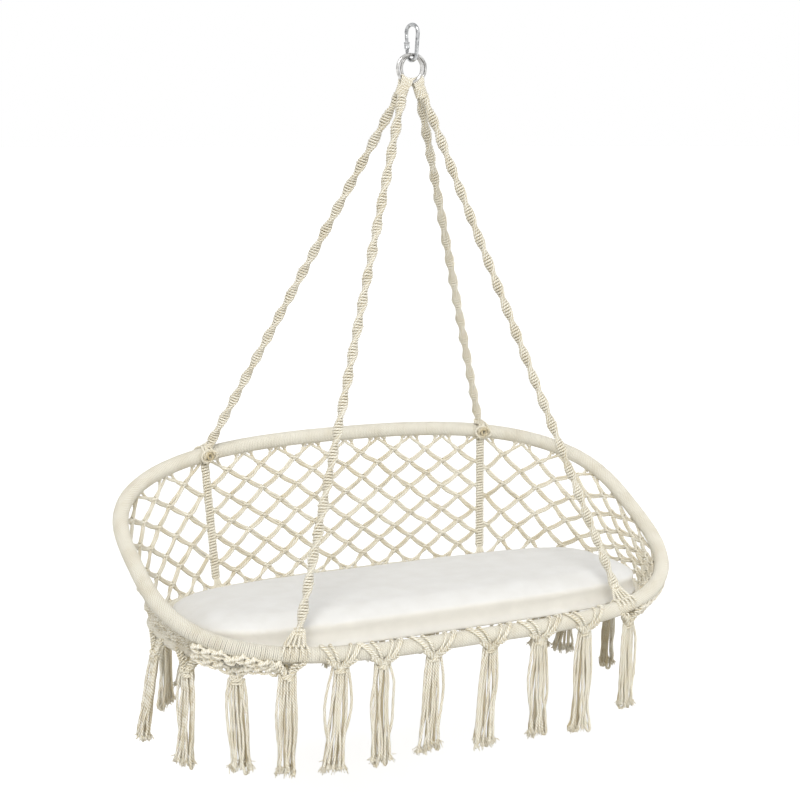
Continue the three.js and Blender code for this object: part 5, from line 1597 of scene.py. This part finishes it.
# %% Turn the sleeve
SLEEVE_FOOT, SLEEVE, SLEEVE_BORE, COLLAR = 0.0036, 0.006, 0.0039, 0.0023
SLEEVE_LONG, WAIST, CONE = 0.013, 0.0054, 0.0004
WAIST_LONG, FLUTES_AND_LANDS = SLEEVE_LONG - 2 * COLLAR - 2 * CONE, 36
sleeve = primitive("circle", "screw_sleeve", vertices=FLUTES_AND_LANDS, radius=SLEEVE,
                   location=(0, 0, SLEEVE_FOOT))
bpy.ops.object.mode_set(mode="EDIT")
bpy.ops.mesh.select_all(action="SELECT")
for rise, scale in (
    (COLLAR, 1), (CONE, WAIST / SLEEVE), (WAIST_LONG, 1), (CONE, SLEEVE / WAIST),
    (COLLAR, 1), (0, SLEEVE_BORE / SLEEVE), (-SLEEVE_LONG, 1),
):
    bpy.ops.mesh.extrude_region_move(TRANSFORM_OT_translate={"value": (0, 0, rise)})
    bpy.ops.transform.resize(value=(scale, scale, 1))
bpy.ops.mesh.select_all(action="DESELECT")
bpy.ops.mesh.select_mode(type="EDGE")
bpy.ops.mesh.select_non_manifold()
bpy.ops.mesh.bridge_edge_loops()
bpy.ops.mesh.select_all(action="SELECT")
bpy.ops.mesh.normals_make_consistent(inside=False)
bpy.ops.mesh.select_mode(type="FACE")
bpy.ops.mesh.select_all(action="DESELECT")
bpy.ops.object.mode_set(mode="OBJECT")
face_area = 2 * math.pi * WAIST / FLUTES_AND_LANDS * WAIST_LONG
waist = [p.index for p in sleeve.data.polygons
         if abs(p.area - face_area) < 1e-7 and p.center.xy.length > 0.005]
waist.sort(key=lambda i: math.atan2(sleeve.data.polygons[i].center.y, sleeve.data.polygons[i].center.x))
for i in waist[::2]:
    sleeve.data.polygons[i].select = True
bpy.ops.object.mode_set(mode="EDIT")
bpy.ops.mesh.inset(thickness=0.0001, use_individual=True)
bpy.ops.transform.shrink_fatten(value=-0.0004)
bpy.ops.object.mode_set(mode="OBJECT")
round_edges(sleeve, 0.00015, 1, 50)
sleeve.data.transform(Matrix.Rotation(YAW, 4, "Z") @ on_leg)
finish_piece(sleeve, zinc_look, "sleeve", "plated_steel", "lock_sleeve")
print("waist faces", len(waist))

# %% [markdown]
# ## The rings
#
# Each ring is bent from wire and welded. The weld leaves a small bead, which is joined to the ring, away
# from the hook and from the cords. The rings are bare steel, darker than the plated hook, and their dark
# patches are painted reflections, as on the hook.

# %% Weld the rings
for side in (1, -1):
    ring = primitive("torus", f"welded_ring_{SIDE_NAME[side]}", location=tuple(RING[side]),
                     rotation=(math.pi / 2, 0, 0), major_radius=RING_RADIUS, minor_radius=RING_WIRE,
                     major_segments=72, minor_segments=24)
    weld_at = math.radians(20)
    spot = Vector(RING[side]) + RING_RADIUS * Vector((side * math.cos(weld_at), 0, math.sin(weld_at)))
    bead = primitive("uv_sphere", "bead", segments=24, ring_count=12, radius=RING_WIRE + 0.0004,
                     location=tuple(spot))
    combine(ring, bead, "UNION")
    round_edges(ring, 0.0001, 1, 20)
    finish_piece(ring, ring_look, "rings", "plated_steel", f"ring_{SIDE_NAME[side]}")

# %% [markdown]
# ## The zip
#
# The cover comes off for washing, so a zip runs along the cushion's back, where nobody sees it. Its tape is
# a strip of cloth that is pulled onto the band, the teeth are two coils of nylon side by side, and a slider
# with a pull sits near one end.

# %% Sew in the zip
ZIP_HALF, ZIP_LEVEL = 0.280, CUSHION_FOOT + 0.02875
tape = primitive("grid", "zip", x_subdivisions=80, y_subdivisions=2, size=1,
                 location=(0, CUSHION_MIDDLE_Y + HALF_DEEP + 0.02, ZIP_LEVEL), rotation=(math.pi / 2, 0, 0),
                 scale=(2 * ZIP_HALF, 0.011, 1))
cling = tape.modifiers.new("cling", "SHRINKWRAP")
cling.target, cling.wrap_method, cling.offset = cushion, "PROJECT", 0.0003
cling.use_project_y, cling.use_negative_direction, cling.use_positive_direction = True, True, True
apply_all(tape)
thicken = tape.modifiers.new("cloth", "SOLIDIFY")
thicken.thickness, thicken.offset = 0.0008, 1
apply_all(tape)
tape_x = np.linspace(-ZIP_HALF + 0.004, ZIP_HALF - 0.004, 121)
tape_y = np.array([cushion.ray_cast((x, 0.5, ZIP_LEVEL), (0, -1, 0))[1].y for x in tape_x])
teeth = Cords()
TOOTH_PITCH = 0.0020
turns = (tape_x[-1] - tape_x[0]) / TOOTH_PITCH
angle = np.linspace(0, 2 * math.pi * turns, int(turns * 7))
x = tape_x[0] + angle / (2 * math.pi) * TOOTH_PITCH
for row in (-1, 1):
    y = np.interp(x, tape_x, tape_y) + 0.0018 + 0.0007 * np.sin(angle)
    teeth.lay(np.stack([x, y, ZIP_LEVEL + row * 0.0011 + 0.0013 * np.cos(angle) * row], -1), 0.0004, 4)
coils = teeth.piece("zip_teeth", tape_look, "cushion", "cushion_zip")
slider_x = ZIP_HALF - 0.030
slider_y = float(np.interp(slider_x, tape_x, tape_y))
slider = primitive("cube", "zip_slider", size=1, location=(slider_x, slider_y + 0.0026, ZIP_LEVEL),
                   scale=(0.009, 0.0034, 0.0065))
pull = primitive("cube", "pull", size=1, location=(slider_x - 0.0115, slider_y + 0.0036, ZIP_LEVEL),
                 scale=(0.018, 0.0010, 0.0044))
hole = primitive("cylinder", "hole", vertices=20, radius=0.0012, depth=0.01,
                 location=(slider_x - 0.0175, slider_y + 0.0036, ZIP_LEVEL), rotation=(math.pi / 2, 0, 0))
combine(pull, hole, "DIFFERENCE")
combine(slider, pull, "UNION")
round_edges(slider, 0.0004)
finish_piece(tape, tape_look, "cushion", "zip_tape", "cushion_zip")
finish_piece(slider, zinc_look, "cushion", "plated_steel", "cushion_zip")
